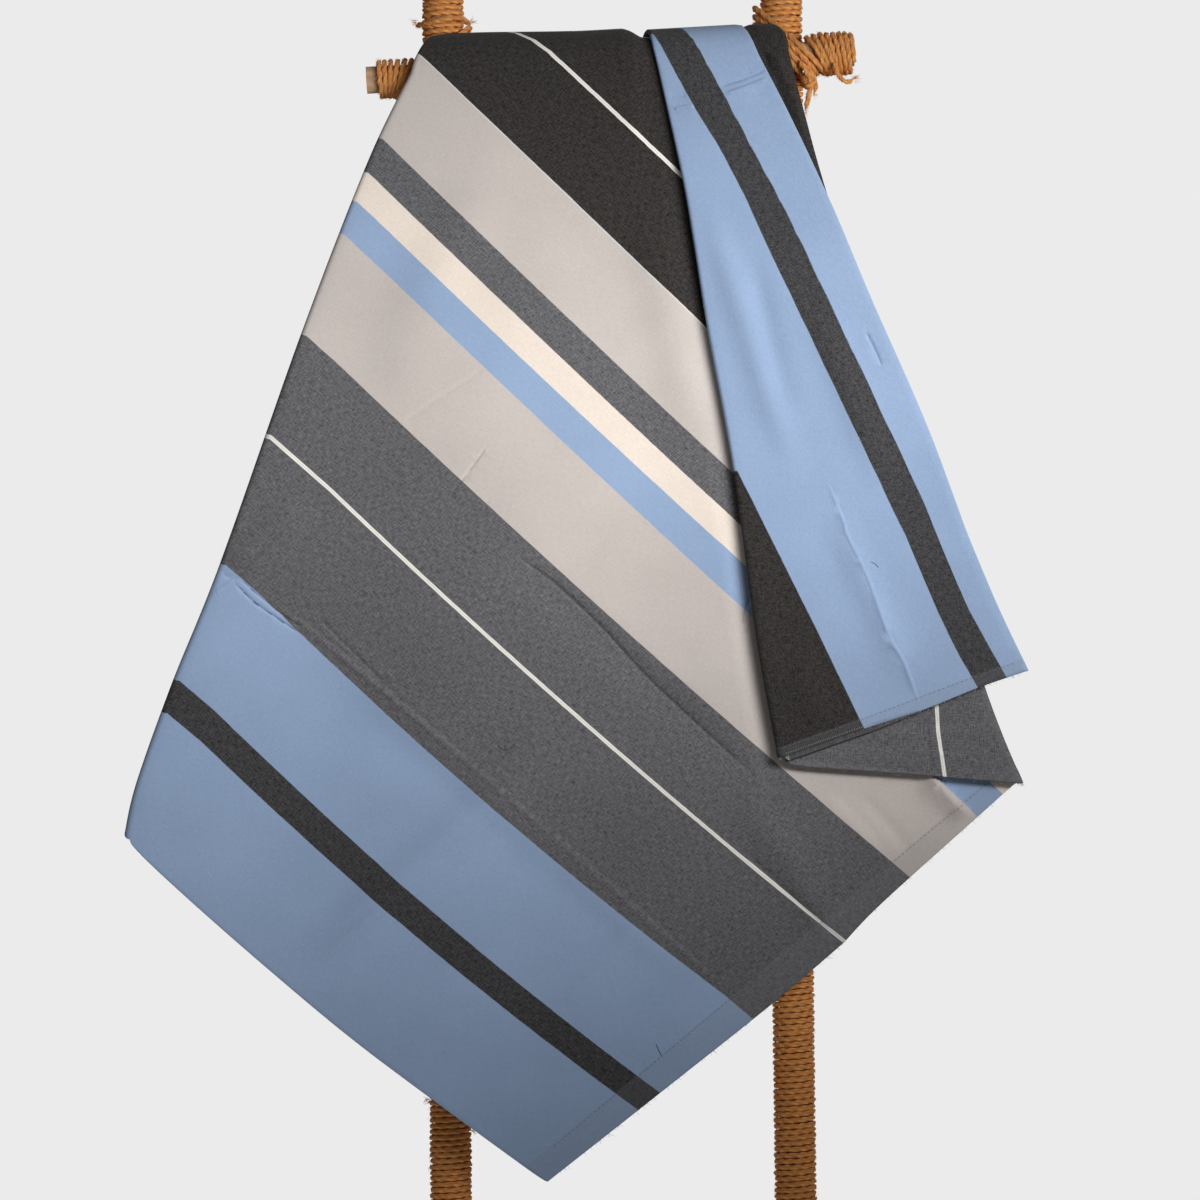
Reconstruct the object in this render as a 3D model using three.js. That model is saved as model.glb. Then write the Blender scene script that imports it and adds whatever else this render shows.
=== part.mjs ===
// A tube sarong folded into a back-and-forth pleat and draped on a rope-wrapped rack.
// Millimetres, +Z up, X to the right seen from the front, Y away from the viewer.
// The cloth is one solid: the flattened tube is a doubled sheet that is folded three times,
// hangs in front of the rod, passes over it and ends behind it between the two posts.
import * as THREE from 'three';

// Driving sizes of the rack.
const ROD_RADIUS = 13;
const ROD_LEFT = -200;
const ROD_RIGHT = 267;
const ROD_HEIGHT = 1174;
const ROD_SLOPE = 0.0567;
const ROPE_DIAMETER = 8.2;
const ROPE_PITCH = 8.6;
const POST_RADIUS = 12.6;
const POST_TOP = 1300;
const POST_BARE_TOP = 16;
const SEAT_GAP = 0.35;
const LASHING_GAP = 0.75;
const WRAP_GAP = 0.3;
const WRAP_RADIUS = POST_RADIUS + WRAP_GAP + ROPE_DIAMETER - 0.5;
const POST_SETBACK = ROD_RADIUS + WRAP_RADIUS + SEAT_GAP;
// Each post leans a little: x at the floor, and how far it leans to the left for each mm of height.
const POSTS = [
  { side: 'left', hand: -1, floorX: -119.2, lean: 0.0068 },
  { side: 'right', hand: 1, floorX: 213.5, lean: 0.0123 },
];
const FOOT = { length: 340, width: 46, height: 30, bevel: 3, holeGap: 0.6 };
const STRETCHER = { depth: 40, height: 18, lift: 6, setback: 56 };

// Driving sizes of the cloth.
const CLOTH = 1.6;
const FRONT_ROWS = 24;
const OVER_ROWS = 8;
const BEHIND_ROWS = 7;
const TURN_COLUMNS = 4;
const HANG_BLEND = 160;

const mix = (a, b, t) => a + (b - a) * t;
const smooth = (t) => {
  const c = Math.min(1, Math.max(0, t));
  return c * c * (3 - 2 * c);
};
const rodAxis = (x) => ROD_HEIGHT + ROD_SLOPE * x;

// The lines that run along the draped cloth. front: x, z from the lower edge up to the rod.
// over: x at each eighth of the half turn over the rod. tip: x and drop at the end behind.
const LINES = {
  freeEdge: {
    front: [[203, 441], [201, 855]],
    over: [184, 181, 177, 171, 164, 155, 149, 147, 146],
    tip: { x: -19, drop: 303 },
  },
  leftFold: {
    front: [[-428, 446], [-417, 494], [-383, 589], [-337, 703], [-259, 922], [-196, 1083]],
    over: [-156, -152, -146, -140, -114, -94, -84, -81, -80],
    tip: { x: -68, drop: 330 },
  },
  underPleat: {
    front: [[256, 339], [199, 516], [179, 627], [155, 795], [132, 926], [107, 1070]],
    over: [84, 82, 80, 77, 74, 72, 70, 68, 66],
    tip: { x: -45, drop: 322 },
  },
  rightFold: {
    front: [[425, 491], [389, 582], [316, 810], [243, 1038], [217, 1131]],
    over: [203, 202, 199, 193, 180, 164, 155, 153, 152],
    tip: { x: -15, drop: 300 },
  },
  pleatFold: {
    front: [[193, 516], [173, 627], [150, 795], [126, 926], [113, 1007], [102, 1070]],
    over: [78, 75, 73, 71, 68, 66, 64, 62, 60],
    tip: { x: -52, drop: 322 },
  },
  tubeEdge: {
    front: [[429, 598], [358, 760], [278, 950], [243, 1038], [205, 1123]],
    over: [174, 169, 164, 159, 153, 147, 141, 136, 132],
    tip: { x: -23, drop: 305 },
  },
};

// Lower edges of the panels: the columns of the sheet that a stretch has, and its x and z.
// The main panel's first stretch is the tube's own fold along the stripes, the rest is hem.
const LOWER = {
  backFlap: [{ columns: 9, points: [[203, 441], [-110, 436], [-428, 446]] }],
  main: [
    { columns: 8, points: [[-428, 446], [-424, 431], [-325, 342], [-185, 232], [-52, 129], [-28, 112]] },
    { columns: 6, points: [[-28, 112], [81, 198], [188, 282], [256, 339]] },
  ],
  mainUnder: [{ columns: 5, points: [[256, 339], [295, 378], [406, 475], [425, 491]] }],
  pleat: [{ columns: 6, points: [[425, 491], [328, 499], [211, 507], [193, 516]] }],
  tail: [{ columns: 7, points: [[193, 516], [275, 544], [329, 561], [382, 582], [429, 598]] }],
};

// How far each layer stands from the rod's axis: hanging in front, and hanging behind.
const HANG = { backFlap: 27, main: 36, pleat: 39.5, tail: 45.5 };
const BEHIND = { backFlap: 26, main: 31.5, pleat: 37, tail: 42.5 };
const OVER = {
  backFlap: 22.7, backFlapAtPost: 31.5, mainLeft: 39.5, mainMiddle: 35, mainUnder: 25.4,
  pleat: 29.2, pleatCrest: 2.6, tail: 32.7,
};
const MAIN_DIP = 4.5;
const TAIL_LIFT = 6;

// Soft folds: a ridge or trough along a straight run from x0, z0 to x1, z1.
const MAIN_FOLDS = [
  { x0: -258, z0: 320, x1: -10, z1: 535, width: 24, height: 5 },
  { x0: -270, z0: 650, x1: 165, z1: 262, width: 17, height: 3 },
  { x0: -70, z0: 715, x1: 180, z1: 485, width: 16, height: -2.2 },
  { x0: -338, z0: 690, x1: -250, z1: 760, width: 15, height: 3 },
  { x0: -60, z0: 1120, x1: -190, z1: 850, width: 34, height: 3.5 },
  { x0: 157, z0: 480, x1: 250, z1: 345, width: 18, height: 3.5 },
];
const TAIL_FOLDS = [
  { x0: 160, z0: 1010, x1: 268, z1: 690, width: 17, height: 4 },
  { x0: 240, z0: 780, x1: 325, z1: 570, width: 13, height: 3.5 },
  { x0: 205, z0: 620, x1: 235, z1: 540, width: 14, height: 3 },
  { x0: 95, z0: 1135, x1: 180, z1: 1150, width: 9, height: 2 },
];

function foldHeight(folds, x, z) {
  let height = 0;
  for (const fold of folds) {
    const runX = fold.x1 - fold.x0;
    const runZ = fold.z1 - fold.z0;
    const length = Math.hypot(runX, runZ);
    const along = ((x - fold.x0) * runX + (z - fold.z0) * runZ) / length;
    const across = ((x - fold.x0) * runZ - (z - fold.z0) * runX) / length;
    const fade = smooth(along / (0.3 * length)) * smooth((length - along) / (0.3 * length));
    height += fold.height * fade * Math.exp(-((across / fold.width) ** 2));
  }
  return height;
}

// The slow waves that all layers share where they hang in front, and behind.
const frontWave = (x, z) => 4.6 * Math.sin(x / 95 + z / 420 + 0.6) + 2 * Math.sin(x / 43 - z / 260);
const behindWave = (x, drop) => 2.6 * Math.sin(x / 11 + drop / 90) * smooth(drop / 60);

const planeCurve = (points) => new THREE.SplineCurve(points.map(([x, z]) => new THREE.Vector2(x, z)));

function makeLine({ front, over, tip }) {
  const curve = planeCurve([...front, [over[0], rodAxis(over[0])]]);
  return {
    front: (v) => curve.getPointAt(v),
    over: (step) => {
      const index = Math.min(over.length - 2, Math.floor(step * (over.length - 1)));
      return mix(over[index], over[index + 1], step * (over.length - 1) - index);
    },
    behind: (w) => mix(over[over.length - 1], tip.x, w),
    drop: tip.drop,
  };
}

// A panel's lower edge by the number of the column, which may lie between two columns.
function makeLowerEdge(stretches) {
  const parts = stretches.map(({ columns, points }) => ({ columns, curve: planeCurve(points) }));
  return (column) => {
    let rest = column;
    const part = parts.find(({ columns }, i) => {
      if (rest <= columns || i === parts.length - 1) return true;
      rest -= columns;
      return false;
    });
    return part.curve.getPointAt(Math.min(1, rest / part.columns));
  };
}

const lines = Object.fromEntries(Object.entries(LINES).map(([name, table]) => [name, makeLine(table)]));

// Distance of each layer from the rod's axis over the rod. turn runs from 0 in front to 1 behind.
const overDepth = {
  backFlap: (x) => mix(OVER.backFlapAtPost, OVER.backFlap, smooth((x + 92) / 52)),
  main: (x, turn) => {
    const crest = mix(OVER.mainLeft, OVER.mainMiddle, smooth((x + 120) / 140));
    const pleatX = lines.pleatFold.over(turn);
    return mix(crest, OVER.mainUnder, smooth((x - pleatX + 24) / 20));
  },
  pleat: (x, turn) => OVER.pleat + OVER.pleatCrest * smooth((x - lines.tubeEdge.over(turn) - 5) / 10),
  tail: () => OVER.tail,
};

// The main panel dips towards the fold of the pleat that lies on it.
function mainDip(x, z) {
  const reach = Math.min(1, Math.max(0, (z - 516) / (rodAxis(x) - 516)));
  const pleatX = lines.pleatFold.front(reach).x;
  return MAIN_DIP * smooth((x - pleatX + 24) / 20) * smooth((z - 430) / 60);
}

function frontDepth(layer, x, z) {
  const hang = smooth((rodAxis(x) - z) / HANG_BLEND);
  let depth = mix(overDepth[layer](x, 0), HANG[layer], hang) + hang * frontWave(x, z);
  if (layer === 'main') depth += hang * (foldHeight(MAIN_FOLDS, x, z) - mainDip(x, z));
  if (layer === 'tail') depth += foldHeight(TAIL_FOLDS, x, z) + TAIL_LIFT * smooth((800 - z) / 220);
  if (layer === 'pleat') depth += 0.5 * TAIL_LIFT * smooth((800 - z) / 220);
  return depth;
}

function behindDepth(layer, x, drop) {
  return mix(overDepth[layer](x, 1), BEHIND[layer], smooth(drop / 90)) + behindWave(x, drop);
}

// A place on the drape: zone front has x, z; zone over has x, turn; zone behind has x, drop.
function layerDepth(layer, zone, x, value) {
  if (zone === 'front') return frontDepth(layer, x, value);
  if (zone === 'over') return overDepth[layer](x, value);
  return behindDepth(layer, x, value);
}

function toSpace(zone, x, value, depth) {
  if (zone === 'front') return new THREE.Vector3(x, -depth, value);
  if (zone === 'over') {
    const angle = value * Math.PI;
    return new THREE.Vector3(x, -depth * Math.cos(angle), rodAxis(x) + depth * Math.sin(angle));
  }
  return new THREE.Vector3(x, depth, rodAxis(x) - value);
}

const PANELS = [
  { layer: 'backFlap', from: 'freeEdge', to: 'leftFold', lower: LOWER.backFlap },
  { layer: 'main', from: 'leftFold', to: 'underPleat', lower: LOWER.main },
  { layer: 'main', from: 'underPleat', to: 'rightFold', lower: LOWER.mainUnder },
  { layer: 'pleat', from: 'rightFold', to: 'pleatFold', lower: LOWER.pleat },
  { layer: 'tail', from: 'pleatFold', to: 'tubeEdge', lower: LOWER.tail },
].map((panel) => ({
  ...panel,
  columns: panel.lower.reduce((sum, stretch) => sum + stretch.columns, 0),
  lowerEdge: makeLowerEdge(panel.lower),
}));

function linePlace(line, row) {
  if (row.zone === 'front') {
    const point = line.front(row.at);
    return { x: point.x, value: point.y };
  }
  if (row.zone === 'over') return { x: line.over(row.at), value: row.at };
  return { x: line.behind(row.at), value: row.at * line.drop };
}

function panelPlace(panel, row, u) {
  const a = linePlace(lines[panel.from], row);
  const b = linePlace(lines[panel.to], row);
  const place = { x: mix(a.x, b.x, u), value: mix(a.value, b.value, u) };
  if (row.zone === 'front') {
    const low = panel.lowerEdge(u * panel.columns);
    const lowA = panel.lowerEdge(0);
    const lowB = panel.lowerEdge(panel.columns);
    place.x += (1 - row.at) * (low.x - mix(lowA.x, lowB.x, u));
    place.value += (1 - row.at) * (low.y - mix(lowA.y, lowB.y, u));
  }
  return place;
}

// Half the distance between the two layers that meet at a fold.
function turnRadius(line, row, layerA, layerB) {
  const place = linePlace(line, row);
  const a = layerDepth(layerA, row.zone, place.x, place.value);
  const b = layerDepth(layerB, row.zone, place.x, place.value);
  return { place, radius: (b - a) / 2, middle: (a + b) / 2 };
}

function clothColumns() {
  const columns = [];
  PANELS.forEach((panel, index) => {
    const before = PANELS[index - 1];
    const after = PANELS[index + 1];
    const turnsIn = before !== undefined && before.layer !== panel.layer;
    const turnsOut = after !== undefined && after.layer !== panel.layer;
    const joined = before !== undefined && !turnsIn;
    for (let i = joined ? 1 : 0; i <= panel.columns; i += 1) {
      const u = i / panel.columns;
      columns.push((row) => {
        const place = panelPlace(panel, row, u);
        const inward = Math.sign(linePlace(lines[panel.to], row).x - linePlace(lines[panel.from], row).x);
        let shift = 0;
        if (turnsIn) {
          shift += (1 - u) * turnRadius(lines[panel.from], row, before.layer, panel.layer).radius;
        }
        if (turnsOut) {
          shift -= u * turnRadius(lines[panel.to], row, panel.layer, after.layer).radius;
        }
        const x = place.x + inward * shift;
        return toSpace(row.zone, x, place.value, layerDepth(panel.layer, row.zone, x, place.value));
      });
    }
    if (!turnsOut) return;
    for (let i = 1; i < TURN_COLUMNS; i += 1) {
      const angle = (i / TURN_COLUMNS) * Math.PI;
      columns.push((row) => {
        const { place, radius, middle } = turnRadius(lines[panel.to], row, panel.layer, after.layer);
        const inward = Math.sign(linePlace(lines[panel.from], row).x - place.x);
        const x = place.x + inward * radius * (1 - Math.sin(angle));
        return toSpace(row.zone, x, place.value, middle - radius * Math.cos(angle));
      });
    }
  });
  return columns;
}

function clothRows() {
  const rows = [];
  for (let i = 0; i <= FRONT_ROWS; i += 1) rows.push({ zone: 'front', at: i / FRONT_ROWS });
  for (let i = 1; i <= OVER_ROWS; i += 1) rows.push({ zone: 'over', at: i / OVER_ROWS });
  for (let i = 1; i <= BEHIND_ROWS; i += 1) rows.push({ zone: 'behind', at: i / BEHIND_ROWS });
  return rows;
}

// The doubled sheet as one closed body: the middle surface moved out to both sides.
function clothGeometry() {
  const columns = clothColumns();
  const rows = clothRows();
  const middle = rows.map((row) => columns.map((column) => column(row)));
  const lastRow = rows.length - 1;
  const lastColumn = columns.length - 1;
  const normalAt = (r, c) => {
    const up = middle[Math.min(lastRow, r + 1)][c].clone().sub(middle[Math.max(0, r - 1)][c]);
    const across = middle[r][Math.min(lastColumn, c + 1)].clone().sub(middle[r][Math.max(0, c - 1)]);
    return across.cross(up).normalize();
  };
  const positions = [];
  for (const side of [0.5, -0.5]) {
    for (let r = 0; r <= lastRow; r += 1) {
      for (let c = 0; c <= lastColumn; c += 1) {
        const point = middle[r][c].clone().addScaledVector(normalAt(r, c), side * CLOTH);
        positions.push(point.x, point.y, point.z);
      }
    }
  }
  const face = (side, r, c) => side * (lastRow + 1) * (lastColumn + 1) + r * (lastColumn + 1) + c;
  const indices = [];
  const quad = (a, b, c, d) => indices.push(a, b, c, a, c, d);
  for (let r = 0; r < lastRow; r += 1) {
    for (let c = 0; c < lastColumn; c += 1) {
      quad(face(0, r, c), face(0, r, c + 1), face(0, r + 1, c + 1), face(0, r + 1, c));
      quad(face(1, r, c), face(1, r + 1, c), face(1, r + 1, c + 1), face(1, r, c + 1));
    }
  }
  for (let c = 0; c < lastColumn; c += 1) {
    quad(face(0, 0, c), face(1, 0, c), face(1, 0, c + 1), face(0, 0, c + 1));
    quad(face(0, lastRow, c), face(0, lastRow, c + 1), face(1, lastRow, c + 1), face(1, lastRow, c));
  }
  for (let r = 0; r < lastRow; r += 1) {
    quad(face(0, r, 0), face(0, r + 1, 0), face(1, r + 1, 0), face(1, r, 0));
    quad(face(0, r, lastColumn), face(1, r, lastColumn), face(1, r + 1, lastColumn), face(0, r + 1, lastColumn));
  }
  const geometry = new THREE.BufferGeometry();
  geometry.setAttribute('position', new THREE.Float32BufferAttribute(positions, 3));
  geometry.setIndex(indices);
  return geometry;
}

const COLOURS = {
  cotton: { color: 0x8fa3b5, roughness: 0.9 },
  coir: { color: 0xb0763f, roughness: 0.95 },
  wood: { color: 0xb8936a, roughness: 0.7 },
};

const model = new THREE.Group();

function addPiece(name, geometry, colour, parent = model) {
  const mesh = new THREE.Mesh(geometry, new THREE.MeshStandardMaterial({ ...COLOURS[colour], metalness: 0 }));
  mesh.name = name;
  parent.add(mesh);
  return mesh;
}

// A closed sleeve of rope round a straight bar, made along +Y and turned where it is used.
function sleeve(inner, outer, length) {
  const edge = 2;
  const profile = [
    [inner, 0], [outer - edge, 0], [outer, edge], [outer, length - edge], [outer - edge, length],
    [inner, length], [inner, 0],
  ];
  return new THREE.LatheGeometry(profile.map(([r, y]) => new THREE.Vector2(r, y)), 24);
}

function oval(centreA, centreY, halfA, halfY) {
  const samples = 60;
  return Array.from({ length: samples }, (_, i) => {
    const angle = (i / samples) * 2 * Math.PI;
    return new THREE.Vector2(centreA + halfA * Math.cos(angle), centreY + halfY * Math.sin(angle));
  });
}

// The shortest belt round a set of points.
function beltAround(points) {
  const sorted = [...points].sort((p, q) => p.x - q.x || p.y - q.y);
  const half = (list) => {
    const chain = [];
    for (const point of list) {
      while (chain.length > 1) {
        const last = chain[chain.length - 1].clone().sub(chain[chain.length - 2]);
        const next = point.clone().sub(chain[chain.length - 2]);
        if (last.cross(next) > 0) break;
        chain.pop();
      }
      chain.push(point);
    }
    return chain.slice(0, -1);
  };
  return [...half(sorted), ...half(sorted.reverse())];
}

// One turn of a diagonal lashing round the rod and a post: a ring of rope in a slanted plane.
// The plane cuts the rod and the post in ovals, whose places and lengths follow their lean.
function lashingTurn(hand, lean, offset) {
  const steps = 32;
  const sides = 7;
  const along = new THREE.Vector3(hand * Math.SQRT1_2, 0, -Math.SQRT1_2);
  const aside = new THREE.Vector3(hand * Math.SQRT1_2, 0, Math.SQRT1_2);
  const rise = hand * ROD_SLOPE;
  const tilt = hand * lean;
  const lay = ROPE_DIAMETER / 2 + LASHING_GAP;
  const rodPlace = (offset * (1 - rise)) / (1 + rise);
  const postPlace = (-offset * (1 + tilt)) / (1 - tilt);
  const aroundRod = ROD_RADIUS + lay;
  const aroundPost = WRAP_RADIUS + lay;
  const belt = beltAround([
    ...oval(rodPlace, 0, (aroundRod * Math.SQRT2) / (1 + rise), aroundRod),
    ...oval(postPlace, POST_SETBACK, (aroundPost * Math.SQRT2) / (1 - tilt), aroundPost),
  ]);
  const path = new THREE.CurvePath();
  belt.forEach((point, i) => path.add(new THREE.LineCurve(point, belt[(i + 1) % belt.length])));
  const centres = [];
  for (let i = 0; i < steps; i += 1) centres.push(path.getPointAt(i / steps));
  const positions = [];
  const indices = [];
  centres.forEach((centre, i) => {
    const tangent = centres[(i + 1) % steps].clone().sub(centres[(i + steps - 1) % steps]).normalize();
    const outward = new THREE.Vector2(tangent.y, -tangent.x);
    for (let k = 0; k < sides; k += 1) {
      const angle = (k / sides) * 2 * Math.PI;
      const out = (Math.cos(angle) * ROPE_DIAMETER) / 2;
      const side = (Math.sin(angle) * ROPE_DIAMETER) / 2;
      const point = along.clone().multiplyScalar(centre.x + out * outward.x);
      point.y += centre.y + out * outward.y;
      point.addScaledVector(aside, offset + side);
      positions.push(point.x, point.y, point.z);
      const next = (i + 1) % steps;
      const turn = (k + 1) % sides;
      const corner = [i * sides + k, next * sides + k, next * sides + turn, i * sides + turn];
      const order = hand > 0 ? [0, 1, 2, 0, 2, 3] : [0, 2, 1, 0, 3, 2];
      order.forEach((j) => indices.push(corner[j]));
    }
  });
  const geometry = new THREE.BufferGeometry();
  geometry.setAttribute('position', new THREE.Float32BufferAttribute(positions, 3));
  geometry.setIndex(indices);
  return geometry;
}

addPiece('sarong', clothGeometry(), 'cotton');

// The rod and its rope, in a group that is tilted with it.
const rodGroup = new THREE.Group();
rodGroup.position.set(0, 0, ROD_HEIGHT);
rodGroup.rotation.y = -Math.atan(ROD_SLOPE);
model.add(rodGroup);
const layAlongX = (mesh, x) => {
  mesh.rotation.z = -Math.PI / 2;
  mesh.position.x = x;
  return mesh;
};
const rodLength = ROD_RIGHT - ROD_LEFT;
layAlongX(
  addPiece('rod', new THREE.CylinderGeometry(ROD_RADIUS, ROD_RADIUS, rodLength, 24), 'wood', rodGroup),
  (ROD_LEFT + ROD_RIGHT) / 2,
);
const ROD_WRAPS = [
  { name: 'rod_wrap_left', from: -194, to: -180 },
  { name: 'rod_wrap_middle', from: -88, to: 150 },
  { name: 'rod_wrap_right', from: 247.5, to: 269 },
];
for (const wrap of ROD_WRAPS) {
  const inner = ROD_RADIUS + WRAP_GAP;
  const geometry = sleeve(inner, inner + ROPE_DIAMETER - 0.5, wrap.to - wrap.from);
  layAlongX(addPiece(wrap.name, geometry, 'coir', rodGroup), wrap.from);
}

for (const post of POSTS) {
  const bottom = 0.6;
  const wrapBottom = FOOT.height + SEAT_GAP;
  const postGroup = new THREE.Group();
  postGroup.position.set(post.floorX, POST_SETBACK, 0);
  postGroup.rotation.y = -Math.atan(post.lean);
  model.add(postGroup);
  const dowel = new THREE.CylinderGeometry(POST_RADIUS, POST_RADIUS, POST_TOP - bottom, 24);
  const bar = addPiece(`${post.side}_post`, dowel, 'wood', postGroup);
  bar.rotation.x = Math.PI / 2;
  bar.position.z = (POST_TOP + bottom) / 2;
  const wrapLength = POST_TOP - POST_BARE_TOP - wrapBottom;
  const wrap = addPiece(
    `${post.side}_post_wrap`, sleeve(POST_RADIUS + WRAP_GAP, WRAP_RADIUS, wrapLength), 'coir', postGroup,
  );
  wrap.rotation.x = Math.PI / 2;
  wrap.position.z = wrapBottom;

  const footShape = new THREE.Shape();
  const halfWidth = FOOT.width / 2 - FOOT.bevel;
  const halfLength = FOOT.length / 2 - FOOT.bevel;
  footShape.moveTo(-halfWidth, -halfLength);
  footShape.lineTo(halfWidth, -halfLength);
  footShape.lineTo(halfWidth, halfLength);
  footShape.lineTo(-halfWidth, halfLength);
  footShape.closePath();
  const hole = new THREE.Path();
  hole.absarc(0, 0, POST_RADIUS + FOOT.holeGap, 0, 2 * Math.PI, true);
  footShape.holes.push(hole);
  const foot = new THREE.ExtrudeGeometry(footShape, {
    depth: FOOT.height, bevelEnabled: false, curveSegments: 12,
  });
  addPiece(`${post.side}_foot`, foot, 'wood').position.set(post.floorX - 0.2, POST_SETBACK, 0);

  const crossing = post.floorX - post.lean * rodAxis(post.floorX);
  for (let turn = 0; turn < 3; turn += 1) {
    const ring = addPiece(`${post.side}_lashing_${turn + 1}`, lashingTurn(post.hand, post.lean, turn * ROPE_PITCH), 'coir');
    ring.position.set(crossing, 0, rodAxis(crossing));
  }
}

const [leftPost, rightPost] = POSTS;
const stretcherLeft = leftPost.floorX - 0.2 + FOOT.width / 2 - FOOT.bevel + SEAT_GAP;
const stretcherRight = rightPost.floorX - 0.2 - FOOT.width / 2 + FOOT.bevel - SEAT_GAP;
const stretcher = addPiece(
  'stretcher',
  new THREE.BoxGeometry(stretcherRight - stretcherLeft, STRETCHER.depth, STRETCHER.height),
  'wood',
);
stretcher.position.set(
  (stretcherLeft + stretcherRight) / 2,
  POST_SETBACK + STRETCHER.setback,
  STRETCHER.lift + STRETCHER.height / 2,
);

// The whole stands on z = 0 with its box centred on the origin.
model.updateMatrixWorld(true);
const box = new THREE.Box3().setFromObject(model, true);
model.position.set(-(box.min.x + box.max.x) / 2, -(box.min.y + box.max.y) / 2, 0);

export default model;
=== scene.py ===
# %% [markdown]
# A tube sarong on a rope-wrapped rack.
# The cloth is a wide tube of striped cotton, laid flat, folded into a pleat and hung over a rod.
# We load the measured model first, because every piece of this scene is placed by it.

# %% Load the frame
import math
from collections import namedtuple

import bpy
import numpy as np
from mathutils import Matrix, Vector


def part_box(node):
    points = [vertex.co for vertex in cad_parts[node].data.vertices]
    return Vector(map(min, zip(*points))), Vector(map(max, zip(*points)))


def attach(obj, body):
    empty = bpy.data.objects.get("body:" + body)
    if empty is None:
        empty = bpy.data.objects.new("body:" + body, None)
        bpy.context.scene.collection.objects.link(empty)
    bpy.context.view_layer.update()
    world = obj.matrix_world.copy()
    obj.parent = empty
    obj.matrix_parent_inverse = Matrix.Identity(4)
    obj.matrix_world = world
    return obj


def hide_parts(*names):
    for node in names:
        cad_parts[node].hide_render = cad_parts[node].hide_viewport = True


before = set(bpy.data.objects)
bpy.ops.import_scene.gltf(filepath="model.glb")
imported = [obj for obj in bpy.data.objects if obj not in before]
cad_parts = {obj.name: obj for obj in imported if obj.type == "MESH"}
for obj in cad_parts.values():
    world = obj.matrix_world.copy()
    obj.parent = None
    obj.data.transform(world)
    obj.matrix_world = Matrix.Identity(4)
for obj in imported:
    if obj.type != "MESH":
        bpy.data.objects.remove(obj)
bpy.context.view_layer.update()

# %% [markdown]
# The pieces are drawn in millimetres, with the rod's axis at y = 0 and the floor at z = 0.
# The model itself is centred on its own box, so we read from it how far the drawing has to move.

# %% The drawing's place in the model
MM = 0.001
ROD_RADIUS = 13.0
ROD_HEIGHT = 1174.0
ROD_SLOPE = 0.0567
POST_RADIUS = 12.6
WRAP_DEPTH = 8.2
WRAP_GAP = 0.3
WRAP_RADIUS = POST_RADIUS + WRAP_GAP + WRAP_DEPTH - 0.5
POST_SETBACK = ROD_RADIUS + WRAP_RADIUS + 0.35
Post = namedtuple("Post", "side hand floor_x lean")
POSTS = [Post("left", -1, -119.2, 0.0068), Post("right", 1, 213.5, 0.0123)]


def middle_of(node):
    low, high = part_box(node)
    return (low + high) / 2 / MM


FOOT_INSET = 0.2
shift = np.array([
    middle_of("left_foot").x - (POSTS[0].floor_x - FOOT_INSET),
    middle_of("rod").y,
    0.0,
])


def to_model(points):
    """Millimetres in the drawing to metres in the model."""
    return (np.asarray(points, float) + shift) * MM


def rod_axis(x):
    return ROD_HEIGHT + ROD_SLOPE * x


print("the drawing moves by", shift.round(2), "mm")

# %% [markdown]
# The photograph was taken from far away, straight at the cloth, at the height of its middle.
# A long lens from 5 m keeps the same flat look: the frame is 1.14 m wide at the cloth's face.

# %% Camera
CAMERA_PLACE = (23.75, -5040.0, 665.0)
CAMERA_DISTANCE = 5000.0
FRAME_WIDTH = 1140.0

camera = bpy.data.objects.new("camera", bpy.data.cameras.new("camera"))
bpy.context.scene.collection.objects.link(camera)
camera.location = to_model(CAMERA_PLACE)
camera.rotation_euler = (math.pi / 2, 0, 0)
camera.data.angle = 2 * math.atan(FRAME_WIDTH / 2 / CAMERA_DISTANCE)
camera.data.clip_end = 60
bpy.context.scene.camera = camera
print("camera's lens:", round(camera.data.lens, 1), "mm")

# %% [markdown]
# Node trees are long to write out, so one small helper makes a node, sets its options,
# and either links a socket or writes a value into each input.

# %% A helper for node trees
def add_node(tree, kind, values=None, **settings):
    node = tree.nodes.new("ShaderNode" + kind)
    for name, value in settings.items():
        setattr(node, name, value)
    for socket, value in (values or {}).items():
        if isinstance(value, bpy.types.NodeSocket):
            tree.links.new(value, node.inputs[socket])
        else:
            node.inputs[socket].default_value = value
    return node


def math_value(tree, operation, *values):
    return add_node(tree, "Math", dict(enumerate(values)), operation=operation).outputs[0]


def mixed_colour(tree, share, first, second):
    node = add_node(tree, "Mix", {0: share, 6: first, 7: second}, data_type="RGBA")
    return node.outputs[2]


def shaded(tree, colour, strength):
    """A colour made lighter or darker by one number."""
    grey = add_node(tree, "CombineXYZ", {0: strength, 1: strength, 2: strength}).outputs[0]
    return add_node(tree, "VectorMath", {0: colour, 1: grey}, operation="MULTIPLY").outputs[0]


def new_material(name):
    material = bpy.data.materials.new(name)
    material.use_nodes = True
    tree = material.node_tree
    tree.nodes.clear()
    output = add_node(tree, "OutputMaterial")
    return material, tree, output

# %% [markdown]
# The studio is plain: one large soft light in front, a weaker one behind for the back of the cloth,
# and an even pale room. The room is brighter to the camera than to the object, so the backdrop
# stays pale while the soft light still shapes the folds.

# %% Studio light and room
BACKDROP = (0.83, 0.83, 0.83, 1)
ROOM_FILL = 0.13

Softbox = namedtuple("Softbox", "name place aim width height power spread")
SOFTBOXES = [
    Softbox("key_light", (1000, -1500, 1180), (40, 0, 850), 1700, 320, 5.4, 52),
    Softbox("back_light", (-300, 2300, 1700), (20, 0, 800), 1200, 900, 9, 100),
]

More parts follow.
